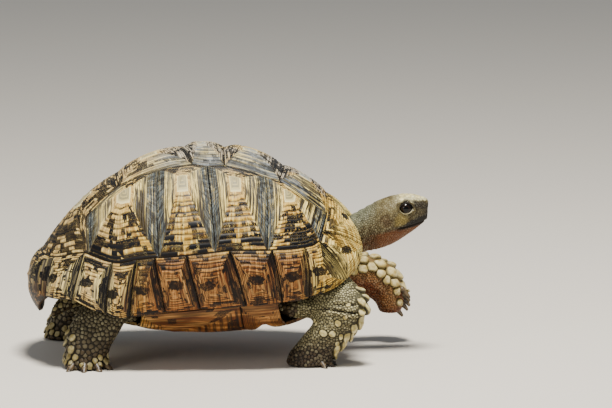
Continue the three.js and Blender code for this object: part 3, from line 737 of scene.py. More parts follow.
def dark_blocks(horn):
    """The chequer: one die for each block, and a comb-like edge where blocks of two seasons meet."""
    ring, season, lot, look = horn.ring, horn.season, horn.lot, horn.look
    comb = horn.noise(horn.pack(horn.round_way * 700, season.floor(), lot), 1.0, 0.0)
    frayed = season + horn.ramp(comb, 0.5, 0.66, 0.0, 0.5) * horn.ramp(ring, 0.55, 0.95, 1.0, 0.3)
    row = frayed.floor()
    column = (horn.round_way / BLOCK_WIDTH + horn.dice(row, lot, 3.0)).floor()
    chance = (horn.ramp(ring, 0.35, 0.92, look["inner"], look["outer"])
              * horn.ramp(horn.patchy, 0.36, 0.62, 0.6, 1.3)
              * horn.ramp(horn.dice(row, lot, 21.0), 0.1, 0.9, 0.45, 1.55))
    if look["slate"]:
        # the rear plates are the darkest
        chance = chance * horn.ramp(horn.along, -0.06, -0.11, 1.0, 1.3)
    small = horn.dice(row, column, lot) < chance
    tall_row = (frayed / 2.0 + 0.4).floor()
    wide_column = (horn.round_way / LARGE_BLOCK_WIDTH + horn.dice(tall_row, lot, 9.0)).floor()
    large_chance = horn.ramp(horn.along, -0.035, -0.06, 1.0, 2.0) * look["large"]
    large = (horn.dice(tall_row, wide_column, lot) < large_chance) * (ring > 0.36)
    return small.at_least(large) * horn.ramp(frayed.fract(), 0.0, 0.14, 0.2, 1.0) * (season > 0.0)


def dark_share(horn, open_front):
    """Where the horn is black: the blocks, rays to the rim, and the blotch above the middle."""
    dark = dark_blocks(horn)
    if horn.look["slate"]:
        # fewer blocks lie beside the areola, where the rings are close
        dark = dark * horn.ramp(horn.side * horn.ramp(horn.ring, 0.76, 0.68), 0.2, 0.9, 1.0, 0.45)
    if horn.family == "marginal":
        dark = dark * open_front
    rays = (horn.ramp(horn.ray, 0.41, 0.36) * horn.ramp(horn.down, 0.0, 0.006)
            * horn.look["rays"] * open_front)
    drift = horn.dice(horn.lot, 1.0, 2.0)
    across = (horn.across - (drift - 0.5) * 0.008) / BLOTCH[0]
    down = (horn.down + (0.0035 + drift * 0.005)) / BLOTCH[1]
    ragged = horn.ramp(horn.noise(horn.object_place, 300, 1.0), 0.3, 0.7, -0.35, 0.35)
    blotch = horn.ramp(across ** 2.0 + down ** 2.0 + ragged, 1.05, 0.9) * horn.look["blotch"]
    return dark.at_least(rays).at_least(blotch)


def straw_horn(horn):
    """Straw rows with browner streaks, fine lines up the sides, and the old horn of the areola."""
    straw = horn.wash(TAN, STRAW, horn.streak, 0.34, 0.58)
    straw = horn.wash(straw, PALE_STRAW, horn.ray, 0.52, 0.66, 0.0, 0.9)
    straw = horn.wash(straw, DARK_TAN, horn.ray, 0.42, 0.34, 0.0, 0.5)
    lined = horn.wash(RING_DIRT, PALE_STRAW, horn.fine, 0.48, 0.545)
    straw = horn.mix(horn.side * horn.ramp(horn.ring, 0.25, 0.36, 0.0, 0.92), straw, lined)
    old = horn.wash(OLD_HORN, PALE_STRAW, (horn.ring * 19).fract(), 0.45, 0.9, 0.0, 0.4)
    old = horn.wash(old, OLD_RIM, horn.season, -0.3, -0.1, 0.0, 0.85)
    middle = horn.ramp(horn.season, 0.15, -0.05, 0.0, 0.95)
    straw = horn.mix(middle * (1.0 if horn.look["slate"] else 0.2), straw, old)
    # weathered grey horn with a painted blue-grey sky reflection, away from the rear of the shell
    grey_and_sky_sheen = horn.wash(SLATE_GREY, SKY_GREY, horn.streak, 0.38, 0.56)
    greyed = horn.ramp(horn.patchy, 0.4, 0.56) * horn.ramp(horn.along, -0.085, -0.03)
    straw = horn.mix(greyed * horn.look["grey_and_sky_sheen"], straw, grey_and_sky_sheen)
    # the rear of the shell is duller, and its top is washed grey with a painted sky sheen
    straw = horn.wash(straw, DULL_STRAW, horn.along, -0.07, -0.105, 0.0, 0.3)
    return horn.wash(straw, STRAW_SKY_SHEEN, horn.height, 0.14, 0.175, 0.0, 0.25)


def flank_share(horn):
    """Where the horn is a warm brown: low on the flanks, and low on the supracaudal. The brown is
    partly the horn's own colour and partly painted orange light thrown up from the ground.
    """
    if horn.family == "supracaudal":
        return horn.ramp(horn.height, 0.086, 0.058, 0.0, 0.85)
    height = horn.height + (-0.05 - horn.along).at_least(0.0) * 0.5
    return (horn.ramp(height, 0.112, 0.096) * horn.ramp(horn.along, -0.105, -0.058)
            * horn.ramp(horn.along, 0.082, 0.060))


# warm brown horn of the flanks: partly its own colour, partly painted orange light bounced up from the
# ground
def warm_horn_and_bounce(horn):
    brown = horn.wash(WARM_BROWN, WARM_STRAW, horn.ray, 0.4, 0.66)
    brown = horn.wash(brown, WARM_DARK, horn.thin, 0.5, 0.36, 0.0, 0.7)
    if horn.family == "marginal":
        brown = horn.wash(brown, WARM_PALE, horn.fine, 0.52, 0.58, 0.0, 0.3)
        # painted orange light bounced up from the ground, strongest lowest down
        brown = horn.wash(brown, GROUND_BOUNCE_ORANGE, horn.height, 0.072, 0.052, 0.0, 0.4)
    return brown


def slate_share(horn):
    """Slate bands run along the side seams of the large plates."""
    return (horn.side * horn.ramp(horn.ring, 0.66, 0.76) * horn.look["slate"]
            * horn.ramp(horn.thin, 0.59, 0.53, 0.12, 1.0))


def slate_horn(horn):
    # dark slate horn; its lighter streaks are a painted sky reflection
    slate = horn.wash(SLATE, SLATE_SKY_SHEEN, horn.ray, 0.4, 0.66)
    return horn.wash(slate, BLUE_BLACK, horn.streak, 0.52, 0.4, 0.0, 0.95)


def side_band(horn, open_front):
    """A dark band at the side seam, wide on one side and narrow on the other."""
    reach = horn.ramp(horn.across, -0.002, 0.002, 0.9, 0.62)
    return (horn.side * horn.ramp(horn.ring - reach, 0.0, 0.06) * horn.look["band"]
            * horn.ramp(horn.thin, 0.64, 0.56) * open_front)


def line_share(horn, slate):
    """The line between two seasons is darker, partly dirt and partly painted shade in the
    groove, and the seam darker still.
    """
    line = abs(horn.season - horn.season.round())
    dirt_and_groove_shade = (horn.ramp(line, 0.27, 0.11, 0.0, 0.95) * (horn.season > 0.5)
            * horn.ramp(horn.side, 0.0, 1.0, 1.0, 0.55) * horn.ramp(horn.streak, 0.62, 0.4, 0.55, 1.0))
    return dirt_and_groove_shade.at_least(horn.ramp(horn.ring, 0.982, 0.994, 0.0, 0.9) * (1.0 - slate))


def horn_finish(family):
    """Lays the colours of one family of plates over each other."""
    horn = Horn(family)
    flank, slate = flank_share(horn), slate_share(horn)
    open_front = 1.0 - horn.front * 0.8
    colour = horn.mix(flank * 0.94, straw_horn(horn), warm_horn_and_bounce(horn))
    # the front of the shell is paler: partly its own yellower horn, partly a painted highlight where it
    # faces the light
    colour = horn.mix(horn.front * horn.ramp(horn.ray, 0.42, 0.56) * 0.75, colour, PALE_STRAW)
    colour = horn.mix(slate, colour, slate_horn(horn))
    dark = dark_share(horn, open_front) * (1.0 - slate * 0.85)
    black = horn.mix(flank, BLUE_BLACK, BROWN_BLACK)
    colour = horn.mix(dark.at_least(side_band(horn, open_front)), colour, black)
    colour = horn.mix(line_share(horn, slate), colour, LINE_BROWN)
    # a faint painted sky sheen over the top of the shell, on the darks too
    horn.colour(horn.wash(colour, SKY_SHEEN, horn.height, 0.14, 0.175, 0.0, 0.014))
    horn.roughness(horn.ramp(horn.streak, 0.3, 0.7, 0.42, 0.56))
    horn.bump(horn.thin + horn.ray * 0.6, 0.00015, 0.6)
    return horn


horns = {family: horn_finish(family) for family in HORN_LOOKS}
plates = [n for n in sorted(nodes) if plate_family(n) in FAMILIES]
points = [dress_plate(name, i, horns[plate_family(name)]) for i, name in enumerate(plates)]
print("plates:", len(plates), "points:", sum(points))

# %% [markdown]
# ## One skin for all the flesh
# Head, neck, legs, tail and trunk are one animal, so one skin covers them. The solids are swollen
# a little until they overlap, turned into a single closed surface by a voxel remesh, and evened
# out, because a living limb has no flats. Then the surface is drawn in again by the swelling and
# by the depth of the scales that will lie on it. The head and neck get smaller faces than the
# rest, because the lids, the mouth and the folds need them.

# %% Joining the flesh
FLESH = ("trunk", "head", "neck", "tail", "foreleg_right", "foreleg_left",
         "hindleg_right", "hindleg_left")
SWELL = 0.0007           # makes solids that only touch overlap
SKIN_CELL = 0.0022
SCALE_DEPTH = 0.0008
EVEN_ROUNDS = 34
HEAD_SHARE = 0.35        # of that on the head, which keeps more of its shape
FAR = 1.0                # beyond every place of the animal
# lowest and highest corner of the stretches of skin that are worked on closely
NECK_BOX = ((0.098, -0.034, 0.083), (FAR, 0.034, FAR))
HEAD_BOX = ((0.124, -0.030, 0.090), (FAR, 0.030, FAR))

# middle and half sizes of the soft flesh between each limb and the shell
SOFT_FLESH = [
    ((0.064, -0.053, 0.051), (0.024, 0.017, 0.011)),
    ((-0.090, -0.055, 0.047), (0.020, 0.016, 0.011)),
    ((0.070, 0.050, 0.054), (0.020, 0.015, 0.009)),
    ((-0.104, 0.055, 0.047), (0.020, 0.016, 0.011)),
]


def joined_flesh():
    whole = bmesh.new()
    for middle, reach in SOFT_FLESH:
        made = bmesh.ops.create_uvsphere(whole, u_segments=24, v_segments=12, radius=1)
        bmesh.ops.scale(whole, verts=made["verts"], vec=reach)
        bmesh.ops.translate(whole, verts=made["verts"], vec=middle)
    for name in FLESH:
        part = node_bmesh(name)
        for vert in part.verts:
            vert.co += vert.normal * SWELL
        mesh = mesh_from("part", part)
        whole.from_mesh(mesh)
        bpy.data.meshes.remove(mesh)
    return mesh_from("flesh", whole)


def voxel_skin(mesh, cell):
    """The one closed surface round a set of overlapping closed ones."""
    carrier = put_in_scene("carrier", mesh)
    remesh = carrier.modifiers.new("one skin", "REMESH")
    remesh.mode = "VOXEL"
    remesh.voxel_size = cell
    graph = bpy.context.evaluated_depsgraph_get()
    skin = bpy.data.meshes.new_from_object(carrier.evaluated_get(graph))
    bpy.data.objects.remove(carrier)
    bpy.data.meshes.remove(mesh)
    return skin


def places_of(mesh):
    return read(mesh.vertices, "co", 3)


def normals_of(mesh):
    return read(mesh.vertex_normals, "vector", 3)


def neighbour_means(values, ends, counts):
    first, second = ends.T
    sums = np.stack([
        np.bincount(first, column[second], len(values))
        + np.bincount(second, column[first], len(values)) for column in values.T], axis=1)
    return sums / counts[:, None]


def even_out(mesh, times, weight):
    """Moves every point towards its neighbours' middle and back, so bumps go and size stays."""
    places, ends = places_of(mesh), read(mesh.edges, "vertices", 2, int)
    counts = np.bincount(ends.reshape(-1), minlength=len(places))
    for share in (0.5, -0.53) * times:
        places += share * weight[:, None] * (neighbour_means(places, ends, counts) - places)
    put_places(mesh, places)


def refine(mesh, box):
    """Splits the faces whose points all lie within a box."""
    bm = bmesh.new()
    bm.from_mesh(mesh)
    inside = within(box, places_of(mesh))
    edges = [e for e in bm.edges if inside[e.verts[0].index] and inside[e.verts[1].index]]
    bmesh.ops.subdivide_edges(bm, edges=edges, cuts=1, use_grid_fill=True)
    bm.to_mesh(mesh)
    bm.free()


def within(box, places):
    return ((places > box[0]) & (places < box[1])).all(axis=1)


def build_skin():
    mesh = voxel_skin(joined_flesh(), SKIN_CELL)
    even_out(mesh, EVEN_ROUNDS, np.where(within(HEAD_BOX, places_of(mesh)), HEAD_SHARE, 1.0))
    for box, times in ((NECK_BOX, 2), (HEAD_BOX, 3)):
        refine(mesh, box)
        even_out(mesh, times, within(box, places_of(mesh)) * 1.0)
    put_places(mesh, places_of(mesh) - (SWELL + SCALE_DEPTH) * normals_of(mesh))
    for face in mesh.polygons:
        face.use_smooth = True
    return mesh


# %% [markdown]
# ### The head
# The eye decides whether a head looks alive. The ball sits in a socket, and two lids lie on it
# like a second, slightly larger ball with an almond-shaped opening. The mouth is a groove that
# falls away from the beak's tip, the nostrils are two small pits, and the eardrum is a round
# shallow plate behind the cheek. All of them are pressed into the fine part of the skin by
# moving its points, so that head and neck stay one surface.

# %% Measures of the head
EYE = np.array([0.15443, 0.0106, 0.1304])
EYE_RADIUS = 0.0061
EYE_FACING = unit(np.array([0.12, 0.98, 0.1]))
EYE_TILT = math.radians(11)           # the front corner sits higher than the back one
EYE_OPENING = (0.0059, 0.0046)        # half width and half height
LID = 0.0007
LID_SPAN = 0.0105
LID_FADE = 0.0088
SOCKET_DEPTH = 0.0015
SOCKET_GAP = 0.0016
MOUTH_BACK = np.array([0.1455, 0.1122])     # along and up
MOUTH_FRONT = np.array([0.1765, 0.1196])
MOUTH_SAG = 0.0006
SNOUT_CORNER = np.array([0.1722, 0.0, 0.1362])
SNOUT_FILL = 0.0019
NOSTRIL = (0.0034, 0.1314)                  # to the side and up, on the front of the snout
NOSTRIL_START = 0.1665
EARDRUM = np.array([0.1372, 0.0150, 0.1192])
EARDRUM_RADIUS = 0.0052
MOUTH_GROOVE = (0.0014, 0.0007)             # depth and width
NOSTRIL_PIT = (0.0022, 0.0008)
DRUM_GROOVE = (0.0006, 0.0008)
DRUM_DEPTH = 0.0005
JAW_DEPTH = 0.0005                          # of the lower jaw behind the upper one
NECK_FOLD = 0.0052                          # from one fold of the neck to the next
FOLD_DEPTH = 0.0006
LID_CREASE = (0.0082, 0.0007, 0.0005)       # from the ball's middle, width and depth
CHEEK_OUT = (0.0036, 0.0042)                # the least and the most beside the lids


def eye_frame(side):
    """Middle of the ball on one side, the ways along and up across its lids, and outwards."""
    mirror = np.array([1.0, side, 1.0])
    facing = EYE_FACING * mirror
    level = unit(np.cross(facing, [0, 0, 1.0])) * -side
    upward = np.cross(level, facing) * side
    level, upward = (math.cos(EYE_TILT) * level + math.sin(EYE_TILT) * upward,
                     math.cos(EYE_TILT) * upward - math.sin(EYE_TILT) * level)
    return EYE * mirror, level, upward, facing


def eye_offsets(places, side):
    """How far places lie from the ball's middle along the lids, up across them and outwards."""
    middle, *ways = eye_frame(side)
    return [(places - middle) @ way for way in ways]


def opening_reach(along, up):
    """One on the rim of the almond opening, less inside it."""
    return np.sqrt((along / EYE_OPENING[0]) ** 2 + (up / EYE_OPENING[1]) ** 2)


def soft_step(values, low, high):
    """Runs smoothly from nothing at low to one at high."""
    share = np.clip((values - low) / (high - low), 0, 1)
    return share * share * (3 - 2 * share)


def bell(away, width):
    """One at no distance, and a soft fall to nothing on both sides."""
    return np.exp(-((away / width) ** 2))


def lay_lids(places):
    """Lays the skin on the eyeball, with an opening where it passes behind the ball instead."""
    for side in (1, -1):
        along, up, out = eye_offsets(places, side)
        away = np.hypot(along, up)
        near = (away < LID_SPAN) & (out > SOCKET_DEPTH)
        lid = np.sqrt(np.maximum((EYE_RADIUS + LID) ** 2 - away**2, 0))
        behind = np.sqrt(np.maximum((EYE_RADIUS - SOCKET_GAP) ** 2 - away**2, 0))
        cheek = np.minimum(CHEEK_OUT[0] + 0.05 * np.maximum(away - 0.005, 0), CHEEK_OUT[1])
        blend = soft_step(away, 0.0052, LID_FADE)
        covered = lid * (1 - blend) + np.maximum(out, 0.0) * blend
        covered = np.where(away < LID_FADE, np.maximum(covered, cheek), out)
        crease = LID_CREASE[2] * bell(away - LID_CREASE[0], LID_CREASE[1])
        wanted = np.where(opening_reach(along, up) < 1.0, behind, covered - crease)
        places[near] += (wanted - out)[near, None] * eye_frame(side)[3]
    return places


def mouth_offset(places):
    """How far a place lies above the line between the jaws, and how far forward along it."""
    run = MOUTH_FRONT - MOUTH_BACK
    length = np.linalg.norm(run)
    run = run / length
    away = places[:, [0, 2]] - MOUTH_BACK
    forward = away @ run
    above = away @ np.array([-run[1], run[0]])
    return above + MOUTH_SAG * np.sin(np.pi * np.clip(forward / length, 0, 1)), forward


def from_nostril(places):
    """How far each place on the front of the snout is from the middle of the nearer nostril."""
    x, y, z = places.T
    return np.hypot(np.abs(y) - NOSTRIL[0], 1.25 * (z - NOSTRIL[1])) + (x < NOSTRIL_START)


def square_snout(places):
    """Fills out the upper front corner of the snout, which is blunt and almost upright."""
    away = np.linalg.norm((places - SNOUT_CORNER) * [1, 0.55, 1], axis=1)
    push = SNOUT_FILL * soft_step(away, 0.0085, 0.001)
    return places + push[:, None] * unit(np.array([1.0, 0, 0.62]))


def both_sides(places):
    """The same places with the left side folded on the right one."""
    return places * [1, 0, 1] + np.abs(places) * [0, 1, 0]


def pressed(away, groove):
    depth, width = groove
    return depth * bell(away, width)


def carve_head(mesh):
    """Presses mouth, nostrils, eardrums and folds into the fine part of the skin."""
    places = lay_lids(square_snout(places_of(mesh)))
    put_places(mesh, places)
    x, y, z = places.T
    above, forward = mouth_offset(places)
    jaws = soft_step(forward, -0.001, 0.004)
    lower_jaw = soft_step(above, 0.0004, -0.0004) * soft_step(above, -0.006, -0.001)
    drum = np.linalg.norm(both_sides(places) - EARDRUM, axis=1)
    press = (pressed(above, MOUTH_GROOVE) + JAW_DEPTH * lower_jaw) * jaws
    press += pressed(from_nostril(places), NOSTRIL_PIT)
    press += DRUM_DEPTH * soft_step(drum, EARDRUM_RADIUS, EARDRUM_RADIUS * 0.8)
    press += pressed(drum - EARDRUM_RADIUS, DRUM_GROOVE)
    press *= within(HEAD_BOX, places)
    lean = x - 0.35 * (z - 0.12) + 0.0006 * np.sin(900 * y)
    folds = (0.5 + 0.5 * np.sin(lean * 2 * np.pi / NECK_FOLD)) ** 2
    press += FOLD_DEPTH * folds * within(NECK_BOX, places) * soft_step(x, 0.134, 0.122)
    put_places(mesh, places - press[:, None] * normals_of(mesh))


# %% [markdown]
# ### The elbow
# The near foreleg is bent, and its skin is pushed together inside the bend. Each crease is a
# narrow groove with a swollen lip below it.

# %% Creases of the near foreleg
CREASE_BOX = ((0.066, -FAR, 0.040), (0.130, -0.020, 0.072))
CREASE_WIDTH = 0.0010
LIP_BELOW, LIP_WIDTH, LIP_SHARE = 0.0021, 0.0011, 0.6
# height of each crease, its slope, where it starts and ends, and its depth
LEG_CREASES = [
    (0.0500, -0.10, 0.078, 0.118, 0.0018),
    (0.0556, 0.05, 0.086, 0.116, 0.0010),
    (0.0612, 0.12, 0.088, 0.112, 0.0006),
]


def crease_shares(places):
    """For each place how deep it lies in a crease, and how near the swollen lip below one."""
    x, _, z = places.T
    deep, lip = np.zeros(len(x)), np.zeros(len(x))
    for height, slope, start, end, depth in LEG_CREASES:
        below = z - height - slope * (x - 0.1) - 0.0006 * np.sin(220 * x)
        ends = soft_step(x, start, start + 0.008) * soft_step(x, end, end - 0.006)
        deep += depth * bell(below, CREASE_WIDTH) * ends
        lip += depth * bell(below + LIP_BELOW, LIP_WIDTH) * ends
    inside = within(CREASE_BOX, places)
    return deep * inside, lip * inside


def carve_leg(mesh):
    """Presses the creases of the bent elbow into the near foreleg."""
    refine(mesh, CREASE_BOX)
    places = places_of(mesh)
    deep, lip = crease_shares(places)
    put_places(mesh, places - (deep - LIP_SHARE * lip)[:, None] * normals_of(mesh))


skin_mesh = build_skin()
carve_head(skin_mesh)
carve_leg(skin_mesh)
print("skin faces:", len(skin_mesh.polygons))

# %% [markdown]
# ## Scales
# A tortoise's skin is set with scales like a pebbled floor: small grains on neck and upper legs,
# larger many-sided plates on the crown and the feet, and big pale overlapping ones down the front
# of the forelegs, which shield the face when the animal pulls in. They are grown here in three
# steps. Places are scattered over the skin, large ones first, and a place that lies too near an
# older one is dropped. Each place then claims the ground that is nearer to it than to its
# neighbours, which gives the five to seven straight sides that real scales have. Last, a domed
# copy of one small closed shape is fitted over each claim and follows the skin beneath it.

# %% What the scales need to know about the skin
HIDDEN_REACH = 0.011     # skin with a plate this close above it is never seen
LOOK_START = 0.0004      # the look for that plate starts this far above the skin
SOLE_HEIGHT = 0.0022


def joined_surface(meshes):
    """One search tree over several meshes, and for each of its faces the number of its mesh."""
    corners, faces, owners = [], [], []
    for number, mesh in enumerate(meshes):
        first = len(corners)
        corners += [v.co.copy() for v in mesh.vertices]
        faces += [[first + i for i in f.vertices] for f in mesh.polygons]
        owners += [number] * len(mesh.polygons)
    return BVHTree.FromPolygons(corners, faces), np.array(owners)


skin_surface, _ = joined_surface([skin_mesh])
flesh_surface, flesh_owner = joined_surface([nodes[name].data for name in FLESH])
shell_surface, _ = joined_surface([nodes[name].data for name in plates])


def limb_at(places):
    """For each place the number of the flesh node that it lies on."""
    return flesh_owner[[flesh_surface.find_nearest(Vector(p))[2] for p in places]]


def open_faces(mesh):
    """Middles, directions and areas of the skin's faces, without those that the shell hides."""
    middles, facings = read(mesh.polygons, "center", 3), read(mesh.polygons, "normal", 3)
    starts = middles + LOOK_START * facings
    hits = [shell_surface.ray_cast(Vector(start), Vector(facing), HIDDEN_REACH)[0]
            for start, facing in zip(starts, facings)]
    seen = np.array([hit is None for hit in hits]) & (middles[:, 2] > SOLE_HEIGHT)
    return middles[seen], facings[seen], read(mesh.polygons, "area")[seen]


middles, facings, areas = open_faces(skin_mesh)
limb_of_face = limb_at(middles)
print("skin faces in the open:", len(middles))

# %% What each limb's scales look like
# The way the tips of the scales point, speckle, how dark the net between the scales is, how pale
# the large scales are, and the colour on the lit side, on the shaded side and near the ground.
LIMB_WORDS = ("lie", "speckle", "net", "pale", "lit", "shaded", "ground")
LIMB_LOOKS = {
    "trunk": ((-1.0, 0, -0.2), 0.3, 0.8, 0.5, "4f412a", "3d2f1d", "3d2f1d"),
    "head": ((-1.0, 0, -0.2), 0.07, 0.27, 0.7, "5f5433", "43371d", "43371d"),
    "neck": ((-1.0, 0, -0.2), 0.09, 0.36, 0.5, "5a5033", "42341b", "42341b"),
    "tail": ((-0.8, 0, -0.6), 0.4, 0.9, 0.4, "5a4d35", "46371f", "46371f"),
    "foreleg_right": ((0, 0, -1.0), 0.36, 0.95, 0.85, "958e67", "665d3c", "36291a"),
    "foreleg_left": ((0.75, 0.1, -0.65), 0.12, 0.62, 0.75, "927240", "6c340e", "5c2d0b"),
    "hindleg_right": ((0, 0, -1.0), 0.24, 0.95, 0.4, "58503a", "443a26", "3b2f1c"),
    "hindleg_left": ((0, 0, -1.0), 0.24, 0.95, 0.4, "625b41", "4a402b", "413522"),
}


def rgb(text):
    return np.array(hex_colour(text)[:3])


def of_limb(word, owners):
    """One word of the table for each place, from the number of the node that it lies on."""
    column = [LIMB_LOOKS[name][LIMB_WORDS.index(word)] for name in FLESH]
    return np.array([rgb(entry) if isinstance(entry, str) else entry for entry in column])[owners]


# %% How large the scales are
PLAIN_GRAINS = {"neck": 0.0018, "trunk": 0.0034, "tail": 0.003}
LID_GRAIN = 0.00115
LID_GRAIN_REACH = 0.0085
# the least width, and how much is added on the crown, at the near forefoot and at the hind feet
HEAD_GRAIN, FORELEG_GRAIN, HINDLEG_GRAIN = (0.0019, 0.0016), (0.0021, 0.0008), (0.0027, 0.0014)


def grain_size(limb, places, facing):
    """The width of the ordinary scales, in metres."""
    x, _, z = places.T
    if limb in PLAIN_GRAINS:
        return np.full(len(x), PLAIN_GRAINS[limb])
    if limb == "head":
        crown = soft_step(facing[:, 2], 0.55, 0.85) * soft_step(x, 0.136, 0.15)
        size = HEAD_GRAIN[0] + HEAD_GRAIN[1] * crown
        for side in (1, -1):
            along, up, out = eye_offsets(places, side)
            size[(np.hypot(along, up) < LID_GRAIN_REACH) & (out >= 0)] = LID_GRAIN
        return size
    if limb.startswith("foreleg"):
        planted = limb == "foreleg_right"
        return FORELEG_GRAIN[0] + FORELEG_GRAIN[1] * soft_step(z, 0.03, 0.008) * planted
    return HINDLEG_GRAIN[0] + HINDLEG_GRAIN[1] * soft_step(z, 0.05, 0.012)


# along and up, and width, of the round shields on the outer side of the near foreleg
ROUND_SHIELDS = [
    (0.0819, 0.0309, 0.0078), (0.0900, 0.0309, 0.0070), (0.0945, 0.0405, 0.0066),
    (0.0985, 0.0300, 0.0046), (0.1010, 0.0460, 0.0046), (0.0765, 0.0400, 0.0042),
    (0.1030, 0.0560, 0.0048), (0.0950, 0.0215, 0.0044),
]
SHIELD_CATCH = 0.0012      # a place this near the middle of a round shield may carry it
HEEL_SHIELD, TOE_SHIELD, TAIL_SHIELD, CROWN_SHIELD = 0.0072, 0.0054, 0.005, 0.0052
# share of the places that carry one
HEEL_CHANCE, TOE_CHANCE, TAIL_CHANCE, CROWN_CHANCE = 0.05, 0.2, 0.05, 0.3


def shield_size(limb, places, facing, dice):
    """The width of a large pale scale that may stand here, or nothing."""
    x, y, z = places.T
    size = np.zeros(len(x))
    if limb == "foreleg_right":
        front = soft_step(facing[:, 0], 0.35, 0.8)
        size = np.where((front > 0.25) & (z < 0.069) & (z > 0.013), 0.0076 + 0.0028 * front, 0)
        for along, up, width in ROUND_SHIELDS:
            caught = (np.hypot(x - along, z - up) < SHIELD_CATCH) & (facing[:, 1] < -0.2)
            size[caught] = width
    elif limb == "foreleg_left":
        top = soft_step(facing[:, 2] + 0.55 * facing[:, 0] - 0.1 * facing[:, 1], 0.2, 0.75)
        size = np.where((top > 0.34) & (x > 0.088), 0.0066 + 0.0030 * top, 0)
    elif limb.startswith("hindleg"):
        toes = (z < 0.013) & (z > 0.004) & (facing[:, 2] < 0.6)
        heel = (facing[:, 0] < -0.5) & (z > 0.008) & (z < 0.034)
        size[toes & (dice < TOE_CHANCE)] = TOE_SHIELD
        size[heel & (dice < HEEL_CHANCE)] = HEEL_SHIELD
    elif limb == "tail":
        size[dice < TAIL_CHANCE] = TAIL_SHIELD
    elif limb == "head":
        crown = (facing[:, 2] > 0.8) & (x > 0.150) & (x < 0.168) & (np.abs(y) < 0.011)
        size[crown & (dice < CROWN_CHANCE)] = CROWN_SHIELD
    return size


def bare(places):
    """Places without scales: inside and on the rim of the lids, the jaws' horn, the nostrils."""
    above, forward = mouth_offset(places)
    horn_height = 0.0014 + 0.0046 * soft_step(forward, 0.004, 0.028)
    jaw = (forward > 0.0005) & (above < horn_height) & (above > -0.6 * horn_height - 0.0004)
    without = within(HEAD_BOX, places) & (jaw | (from_nostril(places) < 0.0015))
    for side in (1, -1):
        along, up, out = eye_offsets(places, side)
        without |= (opening_reach(along, up) < 1.17) & (out > 0)
    return without


# %% Scattering the places
SEED = 11
CANDIDATES_EACH = 9
SPACING = 0.44           # least distance between two places, as a share of their joint width
# columns of the table of sites
PLACE = slice(0, 3)
FACING = slice(3, 6)
WIDTH, LARGE, LIMB = 6, 7, 8


def tree_of(rows):
    tree = KDTree(len(rows))
    for i, row in enumerate(rows):
        tree.insert(row[PLACE], i)
    tree.balance()
    return tree


def candidates(number, limb, rng):
    """Many places on one limb, more of them where the scales are small."""
    mine = limb_of_face == number
    size = grain_size(limb, middles[mine], facings[mine])
    crowd = CANDIDATES_EACH * (areas[mine] / (0.8 * size**2)).sum()
    weights = areas[mine] / size**2
    picks = rng.choice(np.flatnonzero(mine), int(crowd), p=weights / weights.sum())
    spread = np.sqrt(areas[picks])[:, None]
    places = middles[picks] + rng.uniform(-0.5, 0.5, (len(picks), 3)) * spread
    facing = facings[picks]
    shield = shield_size(limb, places, facing, rng.random(len(picks)))
    width = np.where(shield > 0, shield, grain_size(limb, places, facing))
    rows = np.column_stack([places, facing, width, shield > 0, np.full(len(picks), number)])
    return rows[~bare(places)]


def scatter_places():
    """Places and widths of all scales, large ones first, none too near another."""
    rng = np.random.default_rng(SEED)
    pool = np.concatenate([candidates(number, limb, rng) for number, limb in enumerate(FLESH)])
    pool = pool[np.lexsort((rng.random(len(pool)), -pool[:, LARGE]))]
    tree = tree_of(pool)
    free = np.ones(len(pool), bool)
    kept = []
    widest = pool[:, WIDTH].max()
    for i, row in enumerate(pool):
        if free[i]:
            kept.append(i)
            for _, j, away in tree.find_range(row[PLACE], SPACING * (row[WIDTH] + widest)):
                free[j] &= away >= SPACING * (row[WIDTH] + pool[j, WIDTH])
    return pool[kept]


sites = scatter_places()
owner_of_site = sites[:, LIMB].astype(int)
print("scales:", len(sites), "of them large:", int(sites[:, LARGE].sum()))

# %% Claims: how far each scale reaches in every direction
NEIGHBOURS = 26
ROUNDING = 9.0           # the higher, the sharper the corners of a scale
FREE_REACH = 0.72        # a scale's reach where no neighbour stops it, as a share of its width
GAP = 0.00005


def frames_of(rows, owners):
    """For each scale the direction its tip lies in, the direction across, and outwards."""
    outward = unit(rows[:, FACING])
    ahead = unit(of_limb("lie", owners))
    ahead = unit(ahead - (ahead * outward).sum(axis=1, keepdims=True) * outward)
    return ahead, np.cross(outward, ahead), outward


def claims(rows, beside, ahead, across, turns):
    """The reach of each scale in each direction, up to its borders with its neighbours."""
    away = beside[..., PLACE] - rows[:, None, PLACE]
    x = np.einsum("nkc,nc->nk", away, ahead)
    y = np.einsum("nkc,nc->nk", away, across)
    flat = np.maximum(np.hypot(x, y), 1e-5)
    share = rows[:, None, WIDTH] / (rows[:, None, WIDTH] + beside[..., WIDTH])
    border = np.linalg.norm(away, axis=2) * share
    towards = (x[..., None] * np.cos(turns) + y[..., None] * np.sin(turns)) / flat[..., None]
    pull = (np.maximum(towards, 0) / border[..., None]) ** ROUNDING
    pull = pull.sum(axis=1) + (1 / (FREE_REACH * rows[:, WIDTH, None])) ** ROUNDING
    return pull ** (-1 / ROUNDING) - GAP


# %% One closed pebble, and its copies
# segments round, and rings from the top down: share of the reach, share of the height
PEBBLES = {
    "grains": (10, [(0.52, 0.92), (0.9, 0.5), (0.95, -0.5)]),
    "shields": (20, [(0.26, 1.0), (0.52, 0.95), (0.74, 0.82), (0.9, 0.55), (0.97, 0.12), (0.92, -0.4)]),
}


